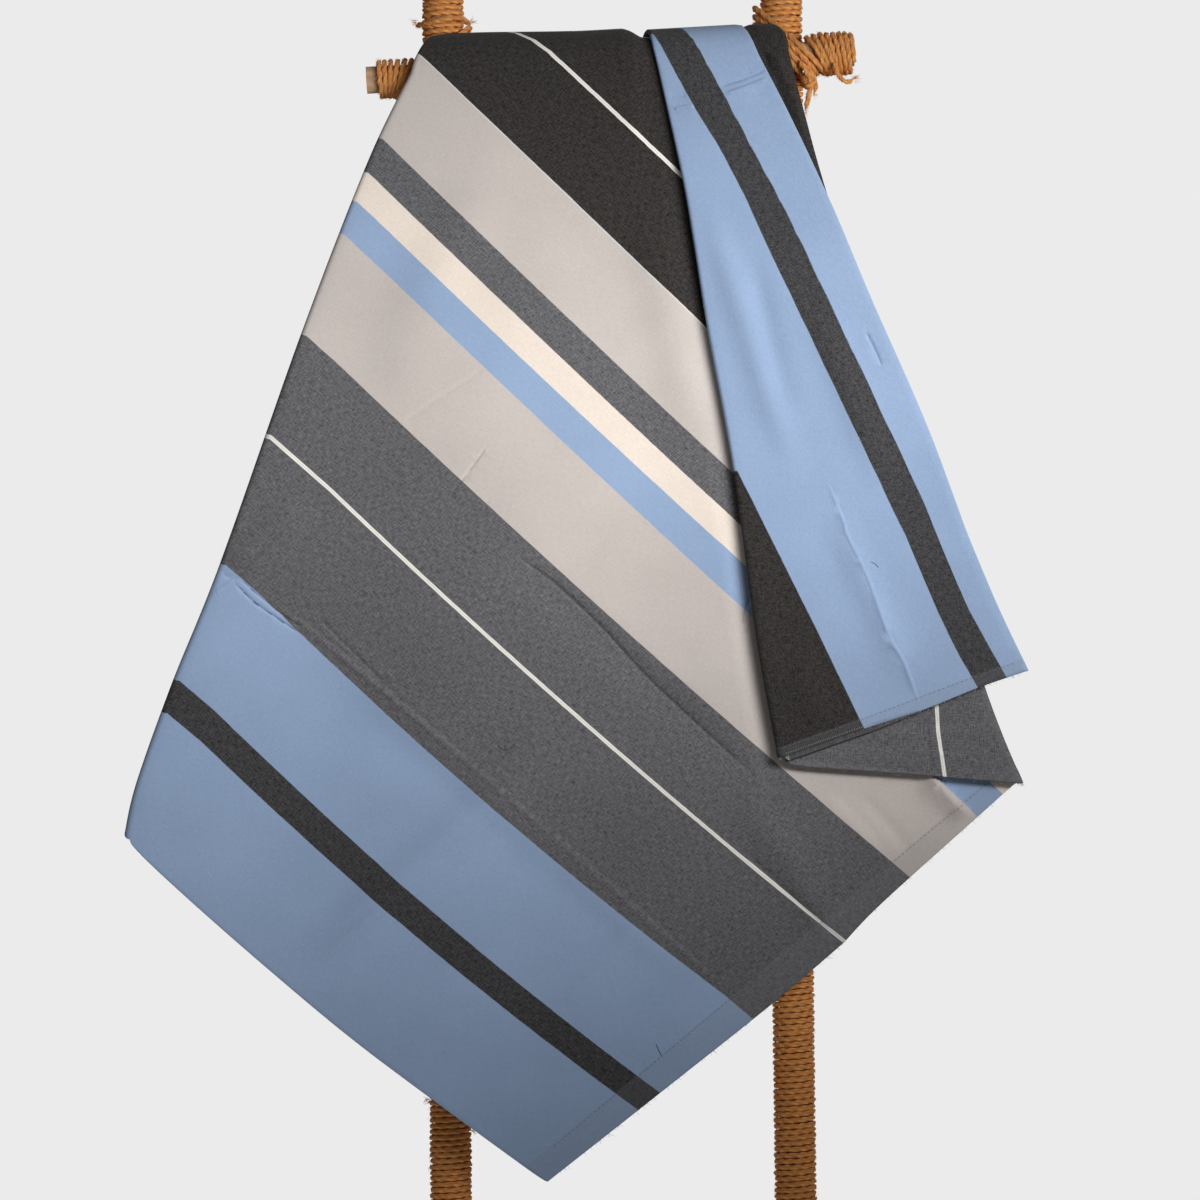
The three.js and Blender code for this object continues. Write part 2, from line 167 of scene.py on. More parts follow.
for box in SOFTBOXES:
    light = bpy.data.lights.new(box.name, "AREA")
    light.shape = "RECTANGLE"
    light.size = box.width * MM
    light.size_y = box.height * MM
    light.energy = box.power
    light.spread = math.radians(box.spread)
    lamp = bpy.data.objects.new(box.name, light)
    bpy.context.scene.collection.objects.link(lamp)
    lamp.location = to_model(box.place)
    aim = Vector(to_model(box.aim)) - lamp.location
    lamp.rotation_euler = aim.to_track_quat("-Z", "Y").to_euler()

world = bpy.data.worlds.new("studio")
bpy.context.scene.world = world
world.use_nodes = True
tree = world.node_tree
tree.nodes.clear()
seen = add_node(tree, "LightPath").outputs["Is Camera Ray"]
fill = add_node(tree, "Background", {"Color": (1, 1, 1, 1), "Strength": ROOM_FILL})
backdrop = add_node(tree, "Background", {"Color": BACKDROP, "Strength": 1.0})
room = add_node(tree, "MixShader", {0: seen, 1: fill.outputs[0], 2: backdrop.outputs[0]})
add_node(tree, "OutputWorld", {0: room.outputs[0]})
bpy.context.scene.view_settings.view_transform = "Standard"

# %% [markdown]
# The floor is a pale disc under the rack. It fades out into the room within a metre, so that
# no horizon shows. The fade goes by the distance from the rack, and not by the camera.

# %% Floor
FLOOR_RADIUS = 0.85
FADE_START = 0.3
FLOOR_GLOW = 0.06
FLOOR_SIDES = 96

floor_mesh = bpy.data.meshes.new("floor")
floor_turns = [2 * math.pi * k / FLOOR_SIDES for k in range(FLOOR_SIDES)]
ring = [(FLOOR_RADIUS * math.cos(turn), FLOOR_RADIUS * math.sin(turn), 0) for turn in floor_turns]
floor_mesh.from_pydata(ring, [], [list(range(FLOOR_SIDES))])
floor = bpy.data.objects.new("floor", floor_mesh)
bpy.context.scene.collection.objects.link(floor)
floor.location.z = -0.0005

material, tree, output = new_material("pale_floor")
place = add_node(tree, "NewGeometry").outputs["Position"]
distance = add_node(tree, "VectorMath", {0: place}, operation="LENGTH").outputs["Value"]
fade = add_node(
    tree, "MapRange", {0: distance, 1: FADE_START, 2: FLOOR_RADIUS - 0.1, 3: 0.0, 4: 1.0},
    interpolation_type="SMOOTHSTEP",
).outputs[0]
grain = add_node(tree, "TexNoise", {"Vector": place, "Scale": 60.0, "Detail": 3.0}).outputs[0]
paint = add_node(tree, "MapRange", {0: grain, 3: 0.80, 4: 0.84}).outputs[0]
paint = add_node(tree, "CombineColor", {0: paint, 1: paint, 2: paint}).outputs[0]
matt = add_node(tree, "BsdfPrincipled", {
    "Base Color": paint, "Roughness": 0.9, "Specular IOR Level": 0.1,
    "Emission Color": BACKDROP, "Emission Strength": FLOOR_GLOW,
})
clear = add_node(tree, "BsdfTransparent")
blend = add_node(tree, "MixShader", {0: fade, 1: matt.outputs[0], 2: clear.outputs[0]})
tree.links.new(blend.outputs[0], output.inputs[0])
floor_mesh.materials.append(material)

# %% [markdown]
# The drape. The flattened tube is one doubled sheet that goes back and forth: a flap behind, the
# wide main panel, a narrow pleat and the tail on top. Four folds and the cloth's own edges run
# from the lower edge up to the rod, over it, and down behind. We keep each as a short table.

# %% The lines of the drape
CLOTH = 1.6
HANG_BLEND = 160.0


def smooth(value):
    value = np.clip(value, 0.0, 1.0)
    return value * value * (3 - 2 * value)


def mix(first, second, share):
    return first + (second - first) * share


def unit(vectors):
    return vectors / np.linalg.norm(vectors, axis=-1, keepdims=True)


def curve_through(points, steps=24):
    """A smooth curve: a share of its length gives each coordinate."""
    points = np.array(points, float)
    padded = np.vstack([points[0], points, points[-1]])
    step = np.linspace(0, 1, steps, endpoint=False)[:, None]
    pieces = []
    for before, start, end, after in zip(padded, padded[1:], padded[2:], padded[3:]):
        leave = (end - before) / 2
        arrive = (after - start) / 2
        pieces.append(
            start + leave * step + (3 * (end - start) - 2 * leave - arrive) * step ** 2
            + (2 * (start - end) + leave + arrive) * step ** 3
        )
    line = np.vstack(pieces + [points[-1:]])
    length = np.concatenate([[0], np.cumsum(np.linalg.norm(np.diff(line, axis=0), axis=1))])
    length /= length[-1]
    return lambda share: tuple(np.interp(share, length, column) for column in line.T)


# The tube's own edge, which bounds the tail, as x and height from its lower corner up to the rod.
TUBE_EDGE = [
    (429, 598), (402, 655), (374, 722), (360, 760), (339, 817),
    (315, 874), (281, 950), (244, 1038), (205, 1123),
]

# front: x and height from the lower edge up to the rod. over: x at each eighth of the half turn
# over the rod. tip_x and tip_drop: the end behind.
Line = namedtuple("Line", "front over tip_x tip_drop")
LINES = {
    "free_edge": Line(
        [(203, 441), (201, 855)],
        [184, 181, 177, 171, 164, 155, 149, 147, 146], -19, 303),
    "left_fold": Line(
        [(-428, 446), (-417, 494), (-383, 589), (-337, 703), (-259, 922), (-196, 1083)],
        [-156, -152, -146, -140, -114, -94, -84, -81, -80], -68, 330),
    "under_pleat": Line(
        [(256, 339), (199, 516), (179, 627), (155, 795), (132, 926), (107, 1070)],
        [84, 82, 80, 77, 74, 72, 70, 68, 66], -45, 322),
    "right_fold": Line(
        [(425, 491), (389, 582), (316, 810), (243, 1038), (217, 1131)],
        [203, 202, 199, 193, 180, 164, 155, 153, 152], -15, 300),
    "pleat_fold": Line(
        [(193, 516), (173, 627), (150, 795), (126, 926), (113, 1007), (102, 1070)],
        [78, 75, 73, 71, 68, 66, 64, 62, 60], -52, 322),
    "tube_edge": Line(
        TUBE_EDGE,
        [174, 169, 164, 159, 153, 147, 141, 136, 132], -23, 305),
}
front_curves = {
    name: curve_through(line.front + [(line.over[0], rod_axis(line.over[0]))])
    for name, line in LINES.items()
}


def on_line(name, zone, at):
    """x, and the height, turn or drop, where a line is at a share of the way through a zone."""
    line = LINES[name]
    if zone == "front":
        return front_curves[name](at)
    if zone == "over":
        return np.interp(at, np.linspace(0, 1, len(line.over)), line.over), at
    return mix(line.over[-1], line.tip_x, at), at * line.tip_drop

# %% [markdown]
# Each panel also has a lower edge. The main panel's is in two stretches: first the tube's own fold,
# which runs along the stripes, then the hem, which cuts across them. Where they meet is the point
# that hangs lowest, so a column of the mesh has to run exactly there.

# %% The panels and their lower edges
# name, its layer, the lines it runs between, the columns of squares it has, and its lower edge
# as stretches of (share of the columns, points).
Panel = namedtuple("Panel", "name layer start end columns lower")
PANELS = [
    Panel("back_flap", "back_flap", "free_edge", "left_fold", 14, [
        (1.0, [(203, 441), (-110, 436), (-428, 446)])]),
    Panel("main", "main", "left_fold", "under_pleat", 28, [
        (8 / 14, [
            (-428, 446), (-424, 431), (-375, 384), (-299, 317), (-223, 254), (-147, 197),
            (-52, 128), (-28, 112)]),
        (6 / 14, [(-28, 112), (81, 198), (188, 282), (256, 339)])]),
    Panel("main_under", "main", "under_pleat", "right_fold", 6, [
        (1.0, [(256, 339), (295, 378), (406, 475), (425, 491)])]),
    Panel("pleat", "pleat", "right_fold", "pleat_fold", 8, [
        (1.0, [(425, 491), (328, 499), (211, 507), (193, 516)])]),
    Panel("tail", "tail", "pleat_fold", "tube_edge", 13, [
        (1.0, [(193, 516), (275, 544), (329, 561), (382, 582), (429, 598)])]),
]
TURN_COLUMNS = 2


def edge_by_x(points):
    """A curve through the points, looked up by how far x has gone from its first to its last."""
    x, z = curve_through(points)(np.linspace(0, 1, 200))
    gone = np.maximum.accumulate((x - x[0]) / (x[-1] - x[0]))
    return lambda share: (mix(x[0], x[-1], share), np.interp(share, gone, z))


lower_curves = {
    panel.name: [(share, edge_by_x(points)) for share, points in panel.lower] for panel in PANELS
}


def lower_edge(panel, share):
    """x and z on the panel's lower edge."""
    start = 0.0
    x = np.zeros_like(share)
    z = np.zeros_like(share)
    for width, curve in lower_curves[panel.name]:
        inside = share >= start - 1e-9
        local_x, local_z = curve(np.clip((share - start) / width, 0, 1))
        x = np.where(inside, local_x, x)
        z = np.where(inside, local_z, z)
        start += width
    return x, z

# %% [markdown]
# A layer's depth is how far it stands from the rod's axis. In front all layers share a slow wave,
# the way heavy cotton sways a little as it hangs, and each has soft folds of its own.
# The sharp creases are those of a cloth that was stored folded small.

# %% Depth of each layer: waves and soft folds
HANG = {"back_flap": 27.0, "main": 36.0, "pleat": 39.5, "tail": 45.5}
BEHIND = {"back_flap": 26.0, "main": 31.5, "pleat": 37.0, "tail": 42.5}
OVER = {
    "back_flap": 22.7, "back_flap_at_post": 31.5, "main_left": 39.5, "main_middle": 35.0,
    "main_under": 25.4, "pleat": 29.2, "pleat_crest": 2.6, "tail": 32.7,
}
# The main panel dips beside the pleat: where the slope starts, how wide it is, and its low end.
MAIN_DIP = 4.5
DIP_START = 24.0
DIP_RUN = 20.0
DIP_LOW = 430.0
DIP_RISE = 60.0
PLEAT_LOW = 516.0
# The tail's lower end swings forward, below a height and over a drop.
TAIL_LIFT = 6.0
LIFT_TOP = 800.0
LIFT_RUN = 220.0

# A soft fold runs from x0, z0 to x1, z1; a crease follows a list of points. tilt makes one side
# of the line stand higher than the other, as a pressed crease does, and sharp makes its far side
# that much narrower, as on a tuck that has tipped over.
SoftFold = namedtuple("SoftFold", "x0 z0 x1 z1 width height")
SOFT_FOLDS = {
    "main": [
        SoftFold(-258, 320, -10, 535, 20, 7),
        SoftFold(-270, 650, 165, 262, 17, 4),
        SoftFold(-70, 715, 180, 485, 14, -3.4),
        SoftFold(-338, 690, -250, 760, 14, 5),
        SoftFold(-60, 1120, -190, 850, 30, 5),
        SoftFold(157, 480, 250, 345, 16, 5),
        SoftFold(60, 1060, 120, 800, 20, 4),
    ],
    "tail": [
        SoftFold(118, 1060, 215, 770, 13, 4.5),
        SoftFold(165, 1000, 205, 820, 10, -3),
        SoftFold(225, 950, 300, 760, 12, 4),
        SoftFold(240, 760, 325, 570, 11, 4),
        SoftFold(205, 620, 235, 540, 12, 3.5),
        SoftFold(95, 1135, 180, 1150, 9, 2.5),
    ],
}


FOLD_FADE = 0.3


def soft_fold_height(layer, x, z):
    height = np.zeros_like(x)
    for fold in SOFT_FOLDS.get(layer, []):
        run_x, run_z = fold.x1 - fold.x0, fold.z1 - fold.z0
        length = math.hypot(run_x, run_z)
        along = ((x - fold.x0) * run_x + (z - fold.z0) * run_z) / length
        across = ((x - fold.x0) * run_z - (z - fold.z0) * run_x) / length
        fade = smooth(along / (FOLD_FADE * length)) * smooth((length - along) / (FOLD_FADE * length))
        height += fold.height * fade * np.exp(-((across / fold.width) ** 2))
    return height


Crease = namedtuple("Crease", "points width height tilt sharp", defaults=[1.0])
CREASES = {
    "main": [
        Crease([
            (-69, 715), (-21, 681), (28, 635), (67, 592), (119, 543), (152, 513), (182, 487),
        ], 2.3, -2.2, 0.9),
        Crease([(-290, 668), (-205, 600), (-110, 520), (-20, 442), (75, 358), (166, 276)], 3.6, 0.5, 1.7),
        Crease([(-248, 651), (-213, 616), (-180, 584)], 2.4, -1.1, 0.6),
        Crease([(-82, 814), (-105, 783), (-130, 749)], 1.5, -1.4, 0.5),
        Crease([(-84, 887), (-124, 862), (-166, 834)], 3.0, -0.6, 0.6),
        Crease([(-339, 693), (-323, 687), (-282, 727), (-255, 754)], 2.4, -1.3, 1.0),
        Crease([(-346, 696), (-342, 690), (-336, 687)], 1.3, -1.4, 0.4),
        Crease([(-326, 683), (-306, 663), (-282, 646), (-261, 632)], 1.2, -1.7, 0.3),
        Crease([(-320, 687), (-300, 668), (-278, 651), (-257, 637)], 1.1, -1.1, -0.5),
        Crease([(-356, 660), (-340, 674), (-323, 686)], 1.4, 0.8, 0.6),
        Crease([(-255, 321), (-191, 370), (-148, 396), (-72, 457), (-12, 524)], 6.0, 0.6, 2.0),
        Crease([(157, 427), (205, 382), (247, 342)], 3.4, -0.8, 1.2),
        Crease([(330, 505), (345, 492), (360, 476), (380, 457)], 13.0, 8.0, 0.0, 0.13),
        Crease([(232, 486), (262, 458), (296, 420)], 7.0, 1.2, 0.9),
        Crease([(262, 484), (292, 455), (322, 418)], 6.0, -1.2, 0.7),
        Crease([(-150, 540), (-60, 600), (-20, 640)], 9.0, 1.2, 0.6),
        Crease([(-40, 260), (30, 330), (80, 400)], 10.0, 1.2, 0.6),
        Crease([(160, 640), (163, 655), (168, 668)], 2.0, -1.4, 0.8),
    ],
    "tail": [
        Crease([(138, 1153), (160, 1160), (182, 1169)], 2.0, -1.3, 0.8),
        Crease([(142, 1146), (162, 1153), (184, 1162)], 1.8, 1.3, 0.6),
        Crease([(90, 1143), (98, 1144), (106, 1144)], 1.8, -1.0, 0.4),
        Crease([(94, 1132), (104, 1134), (113, 1135)], 1.8, 1.2, 0.5),
        Crease([
            (238, 782), (255, 741), (259, 727), (279, 685), (298, 632), (313, 605), (329, 561),
        ], 1.5, 0.8, 0.9),
        Crease([(275, 920), (283, 904), (291, 886)], 2.0, -1.2, 0.6),
    ],
    "pleat": [
        Crease([(334, 546), (335, 530), (338, 497)], 1.6, -0.8, 0.4),
        Crease([(230, 521), (280, 518), (330, 512)], 5.0, 0.7, 0.5),
        Crease([(260, 535), (310, 533), (360, 538), (400, 530)], 5.0, 0.7, -0.4),
        Crease([(228, 1092), (219, 1116), (209, 1138), (197, 1168), (184, 1200)], 4.2, 2.4, 0.6),
        Crease([(214, 1100), (206, 1122), (195, 1150), (184, 1176), (174, 1200)], 3.0, -1.6, 0.3),
        Crease([(240, 528), (290, 522), (345, 520), (395, 508)], 3.0, 0.5, 0.5),
        Crease([(275, 545), (320, 545), (372, 548)], 4.0, -0.6, 0.5),
    ],
}
CREASE_STEPS = 48
WIDE_CREASE = 6
NARROW_FADE = 0.15
WIDE_FADE = 0.3


def crease_lines(creases):
    """Each crease with close points along its curve and the direction there."""
    found = []
    for crease in creases:
        line = np.stack(curve_through(crease.points)(np.linspace(0, 1, CREASE_STEPS)), -1)
        run = np.gradient(line, axis=0)
        found.append((crease, line, run / np.linalg.norm(run, axis=1)[:, None]))
    return found


CREASE_LINES = {layer: crease_lines(creases) for layer, creases in CREASES.items()}


def crease_distance(line, run, x, z, reach):
    """Which points lie near a crease, their signed distance, and the share of the way along it."""
    low, high = line.min(0) - reach, line.max(0) + reach
    near = np.nonzero((x > low[0]) & (x < high[0]) & (z > low[1]) & (z < high[1]))[0]
    gap = np.stack([x[near], z[near]], -1)[:, None] - line
    nearest = (gap ** 2).sum(-1).argmin(1)
    gap = gap[np.arange(len(near)), nearest]
    run = run[nearest]
    spacing = np.linalg.norm(line[1] - line[0])
    share = (nearest + (gap * run).sum(-1) / spacing) / (CREASE_STEPS - 1)
    return near, gap[:, 0] * run[:, 1] - gap[:, 1] * run[:, 0], share


def crease_height(layer, x, z):
    height = np.zeros_like(x)
    for crease, line, run in CREASE_LINES.get(layer, []):
        near, signed, share = crease_distance(line, run, x, z, 4 * crease.width)
        reach = signed / (crease.width * np.where(signed < 0, crease.sharp, 1.0))
        run_out = NARROW_FADE if crease.width < WIDE_CREASE else WIDE_FADE
        fade = smooth(share / run_out) * smooth((1 - share) / run_out)
        bell = np.exp(-(reach ** 2))
        height[near] += fade * bell * (crease.height + 1.6 * crease.tilt * reach)
    return height


HIDDEN_REACH = 24.0
HIDDEN_FADE = 8.0


def trough_near(layer, x, z):
    """How deep the creases close by go."""
    depth = np.zeros_like(x)
    for crease, line, run in CREASE_LINES.get(layer, []):
        near, signed, share = crease_distance(line, run, x, z, HIDDEN_REACH)
        deepest = max(0.0, 0.7 * abs(crease.tilt) - crease.height)
        fade = smooth((share + 0.1) / 0.2) * smooth((1.1 - share) / 0.2)
        here = deepest * fade * smooth((HIDDEN_REACH - np.abs(signed)) / HIDDEN_FADE)
        depth[near] = np.maximum(depth[near], here)
    return depth


def near_crease(layer, x, z, reach):
    """How wide the narrowest crease close by is, or a large number away from all of them."""
    width = np.full(x.shape, 99.0)
    for crease, line, run in CREASE_LINES.get(layer, []):
        near, signed, share = crease_distance(line, run, x, z, reach + 2 * crease.width)
        for size in (crease.width, crease.width * crease.sharp):
            close = (np.abs(signed) < reach + 1.6 * size) & (share > -0.02) & (share < 1.02)
            width[near[close]] = np.minimum(width[near[close]], size)
    return width


def front_wave(x, z):
    return 4.6 * np.sin(x / 95 + z / 420 + 0.6) + 2 * np.sin(x / 43 - z / 260)


def over_depth(layer, x, turn):
    if layer == "back_flap":
        return mix(OVER["back_flap_at_post"], OVER["back_flap"], smooth((x + 92) / 52))
    if layer == "main":
        crest = mix(OVER["main_left"], OVER["main_middle"], smooth((x + 120) / 140))
        pleat_x, _ = on_line("pleat_fold", "over", turn)
        return mix(crest, OVER["main_under"], smooth((x - pleat_x + DIP_START) / DIP_RUN))
    if layer == "pleat":
        edge_x, _ = on_line("tube_edge", "over", turn)
        return OVER["pleat"] + OVER["pleat_crest"] * smooth((x - edge_x - 5) / 10)
    return OVER["tail"] + 0 * x


def main_dip(x, z):
    """The main panel sinks beside the pleat that lies on it."""
    reach = np.clip((z - PLEAT_LOW) / (rod_axis(x) - PLEAT_LOW), 0, 1)
    pleat_x, _ = front_curves["pleat_fold"](reach)
    return MAIN_DIP * smooth((x - pleat_x + DIP_START) / DIP_RUN) * smooth((z - DIP_LOW) / DIP_RISE)


def front_depth(layer, x, z, creasing=1):
    hang = smooth((rod_axis(x) - z) / HANG_BLEND)
    depth = mix(over_depth(layer, x, 0 * x), HANG[layer], hang) + hang * front_wave(x, z)
    if layer == "main":
        depth += hang * (soft_fold_height(layer, x, z) - main_dip(x, z))
    else:
        depth += soft_fold_height(layer, x, z)
    if layer in ("tail", "pleat"):
        share = 1.0 if layer == "tail" else 0.5
        depth += share * TAIL_LIFT * smooth((LIFT_TOP - z) / LIFT_RUN)
    return depth + crease_height(layer, x, z) if creasing else depth


def layer_depth(layer, zone, x, value, creasing=1):
    if zone == "front":
        return front_depth(layer, x, value, creasing)
    if zone == "over":
        return over_depth(layer, x, value)
    wave = 2.6 * np.sin(x / 11 + value / 90) * smooth(value / 60)
    return mix(over_depth(layer, x, 1 + 0 * x), BEHIND[layer], smooth(value / 90)) + wave


def in_space(zone, x, value, depth):
    if zone == "front":
        return np.stack([x, -depth, value], -1)
    if zone == "over":
        angle = value * math.pi
        return np.stack([x, -depth * np.cos(angle), rod_axis(x) + depth * np.sin(angle)], -1)
    return np.stack([x, depth, rod_axis(x) - value], -1)

# %% [markdown]
# A point of the drape is named by a column and a row. Panels lie between their two lines; at a
# fold the sheet makes a half round between the two layers, so nothing is creased to zero width.

# %% From column and row to a place in space
Stretch = namedtuple("Stretch", "kind start columns panel before after")
ZONES = [("front", 48), ("over", 4), ("behind", 12)]


def list_stretches():
    stretches = []
    column = 0
    for index, panel in enumerate(PANELS):
        before = PANELS[index - 1] if index else None
        after = PANELS[index + 1] if index + 1 < len(PANELS) else None
        turn_in = before if before and before.layer != panel.layer else None
        turn_out = after if after and after.layer != panel.layer else None
        stretches.append(Stretch("panel", column, panel.columns, panel, turn_in, turn_out))
        column += panel.columns
        if turn_out:
            stretches.append(Stretch("turn", column, TURN_COLUMNS, panel, panel, after))
            column += TURN_COLUMNS
    return stretches, column


STRETCHES, COLUMN_COUNT = list_stretches()
ROW_COUNT = sum(rows for _, rows in ZONES)


def turn_radius(line, zone, at, first, second):
    x, value = on_line(line, zone, at)
    return np.abs(layer_depth(second, zone, x, value) - layer_depth(first, zone, x, value)) / 2


def panel_place(stretch, zone, at, share):
    panel = stretch.panel
    start_x, start_value = on_line(panel.start, zone, at)
    end_x, end_value = on_line(panel.end, zone, at)
    x = mix(start_x, end_x, share)
    value = mix(start_value, end_value, share)
    if zone == "front":
        low_x, low_z = lower_edge(panel, share)
        first_x, first_z = panel.lower[0][1][0]
        last_x, last_z = panel.lower[-1][1][-1]
        x = x + (1 - at) * (low_x - mix(first_x, last_x, share))
        value = value + (1 - at) * (low_z - mix(first_z, last_z, share))
    inward = np.sign(end_x - start_x)
    if stretch.before:
        x = x + inward * (1 - share) * turn_radius(panel.start, zone, at, stretch.before.layer, panel.layer)
    if stretch.after:
        x = x - inward * share * turn_radius(panel.end, zone, at, panel.layer, stretch.after.layer)
    return x, value


def stretch_place(stretch, zone, at, share, creasing=1):
    """x, the height or turn or drop, and the depth. A turn is a half round between two panels."""
    if stretch.kind == "panel":
        x, value = panel_place(stretch, zone, at, share)
        return x, value, layer_depth(stretch.panel.layer, zone, x, value, creasing)
    number = STRETCHES.index(stretch)
    end = np.ones_like(at)
    x, value, depth = stretch_place(STRETCHES[number - 1], zone, at, end, creasing)
    next_x, next_value, next_depth = stretch_place(STRETCHES[number + 1], zone, at, 1 - end, creasing)
    fold_x, _ = on_line(stretch.panel.end, zone, at)
    angle = share * math.pi
    even = (1 - np.cos(angle)) / 2
    edge = mix(x, next_x, even)
    return edge + (fold_x - edge) * np.sin(angle), mix(value, next_value, even), mix(depth, next_depth, even)


def zone_of(rows):
    """For each row, the number of its zone and the share of the way through it."""
    zone = np.zeros(rows.shape, int)
    at = np.zeros(rows.shape)
    start = 0
    for number, (_, count) in enumerate(ZONES):
        inside = rows >= start
        zone = np.where(inside, number, zone)
        at = np.where(inside, (rows - start) / count, at)
        start += count
    return zone, np.clip(at, 0, 1)


def groups(columns, rows):
    """Splits points by stretch and zone, and gives for each the shares that place them."""
    zones, at = zone_of(rows)
    starts = np.array([stretch.start for stretch in STRETCHES])
    numbers = np.clip(np.searchsorted(starts, columns, "right") - 1, 0, len(STRETCHES) - 1)
    for number, stretch in enumerate(STRETCHES):
        for zone_number, (zone, _) in enumerate(ZONES):
            chosen = np.nonzero((numbers == number) & (zones == zone_number))[0]
            if len(chosen):
                share = np.clip((columns[chosen] - stretch.start) / stretch.columns, 0, 1)
                yield stretch, zone, chosen, at[chosen], share


def drape(columns, rows, creasing=1):
    """Points of the sheet's middle surface, with its creases or without them."""
    points = np.zeros((len(columns), 3))
    for stretch, zone, chosen, at, share in groups(columns, rows):
        x, value, depth = stretch_place(stretch, zone, at, share, creasing)
        points[chosen] = in_space(zone, x, value, depth)
    return points


main_stretch = next(stretch for stretch in STRETCHES if stretch.panel.name == "main")
TIP_COLUMN = main_stretch.start + PANELS[1].lower[0][0] * PANELS[1].columns
tip = drape(np.array([TIP_COLUMN]), np.array([0.0]))[0]
print("lowest point of the cloth:", tip.round(1), "mm")

# %% [markdown]
# The stripes belong to the cloth and not to the air, so every point needs its place on the flat
# cloth: across (from the tube's first fold, over the stripes) and along (from the hem, with them).
# In the photograph a stripe's edge is a nearly straight line. A table of those lines gives
# "across" anywhere on the main panel, and a second one does the same for the tail.

# %% Cloth coordinates on the main panel and the tail
TUBE_WIDTH = 1067.8
MIDLINE_X = -71.25
# across, height where the stripe line crosses the midline, slope, and how far it sags between two x
StripeLine = namedtuple("StripeLine", "across height slope sag left right")
MAIN_STRIPE_LINES = [
    StripeLine(0.0, 146.6, -0.808, 7.0, -404, -71),
    StripeLine(115.9, 292.2, -0.837, 13.8, -356, 71),
    StripeLine(143.5, 327.2, -0.856, 13.2, -342, 81),
    StripeLine(252.7, 473.7, -0.862, 12.3, -304, 142),
    StripeLine(371.5, 628.1, -0.878, 9.5, -233, 261),
    StripeLine(462.7, 751.4, -0.895, 8.6, -223, 337),
    StripeLine(556.7, 873.9, -0.934, 2.8, -166, 214),
    StripeLine(589.0, 916.8, -0.931, 3.8, -185, 214),
    StripeLine(616.6, 953.0, -0.941, 3.5, -185, 214),
    StripeLine(648.9, 997.2, -0.951, 2.8, -185, 176),
    StripeLine(733.4, 1111.0, -0.954, 0.0, -185, 176),
    StripeLine(818.9, 1230.0, -0.930, 0.0, -185, 176),
    StripeLine(TUBE_WIDTH, 1555.5, -0.930, 0.0, -185, 176),
]
# Near the lower right corner the stripes sit higher: past one x, and above one stripe's line.
CORNER_PULL = 9.0
PULL_LINE = 5
PULL_START = 300.0
PULL_RUN = 50.0
PULL_CLEAR = 25.0
PULL_RISE = 30.0
HEM_START = (-28.0, 112.0)
HEM_SLOPE = 0.8344
# across, and the line as x, z from the rod down
TAIL_STRIPE_LINES = [
    (902.5, [
        (-235, 1589), (-80, 1284), (-49, 1209), (-10, 1133), (59, 1007), (150, 796), (234, 627),
        (273, 546), (280, 532)]),
    (1011.8, [
        (-112, 1589), (43, 1284), (74, 1209), (94, 1169), (114, 1133), (137, 1096), (161, 1050), (180, 1007),
        (316, 722), (332, 684), (344, 655), (357, 627), (367, 608), (382, 582), (406, 532)]),
    (1043.1, [
        (-80, 1589), (75, 1284), (106, 1209), (141, 1146), (172, 1086), (195, 1043), (213, 1007),
        (330, 760), (345, 722), (361, 684), (374, 655), (389, 627), (400, 608), (410, 590), (441, 532)]),
    (TUBE_WIDTH, [
        (-23, 1589), (132, 1284), (163, 1209), (180, 1175), *TUBE_EDGE[::-1], (458, 532)]),
]
TAIL_HEM = (193.0, 516.0, 0.9447, 0.3283)
TAIL_ALONG = (0.4285, -0.9035)


def main_cloth(x, z):
    across, height, slope, sag, left, right = np.array(MAIN_STRIPE_LINES).T
    span = np.clip((x[:, None] - left) / (right - left), 0, 1)
    corner_line = height[PULL_LINE] + slope[PULL_LINE] * (x - MIDLINE_X)
    pull = CORNER_PULL * smooth((x - PULL_START) / PULL_RUN)
    pull = pull * smooth((z - corner_line - PULL_CLEAR) / PULL_RISE)
    above = height + slope * (x[:, None] - MIDLINE_X) - 4 * sag * span * (1 - span) - (z - pull)[:, None]
    lower = np.clip((above < 0).sum(1) - 1, 0, len(across) - 2)
    index = np.arange(len(x))
    share = -above[index, lower] / (above[index, lower + 1] - above[index, lower])
    here = mix(across[lower], across[lower + 1], share)
    line_slope = mix(slope[lower], slope[lower + 1], share)
    hem_x = (z - line_slope * x - HEM_START[1] + HEM_SLOPE * HEM_START[0]) / (HEM_SLOPE - line_slope)
    return here, np.sqrt(1 + line_slope ** 2) * (hem_x - x)


def tail_cloth(x, z):
    across = [row[0] for row in TAIL_STRIPE_LINES]
    edges = []
    for _, line in TAIL_STRIPE_LINES:
        line_x, line_z = np.array(line[::-1], float).T
        edges.append(np.interp(z, line_z, line_x))
    here = np.zeros_like(x)
    for index in range(len(across) - 1):
        share = (x - edges[index]) / (edges[index + 1] - edges[index])
        value = mix(across[index], across[index + 1], share)
        here = value if index == 0 else np.where(share > 0, value, here)
    hem_x, hem_z, run_x, run_z = TAIL_HEM
    side = (x - hem_x) * run_z - (z - hem_z) * run_x
    turn = TAIL_ALONG[0] * run_z - TAIL_ALONG[1] * run_x
    return here, -side / turn

# %% [markdown]
# Behind a fold the same cloth carries on, mirrored in the fold's line. So the back flap mirrors
# each point in the left fold and asks the main panel, and the pleat takes its values from the two
# panels that it joins. Past the rod we unroll the cloth: there a point lies as high above the rod
# as the cloth is long from the rod's front. The weave of the pleat follows the pleat itself.

# %% Cloth coordinates everywhere
MIRROR_STEP = 0.02
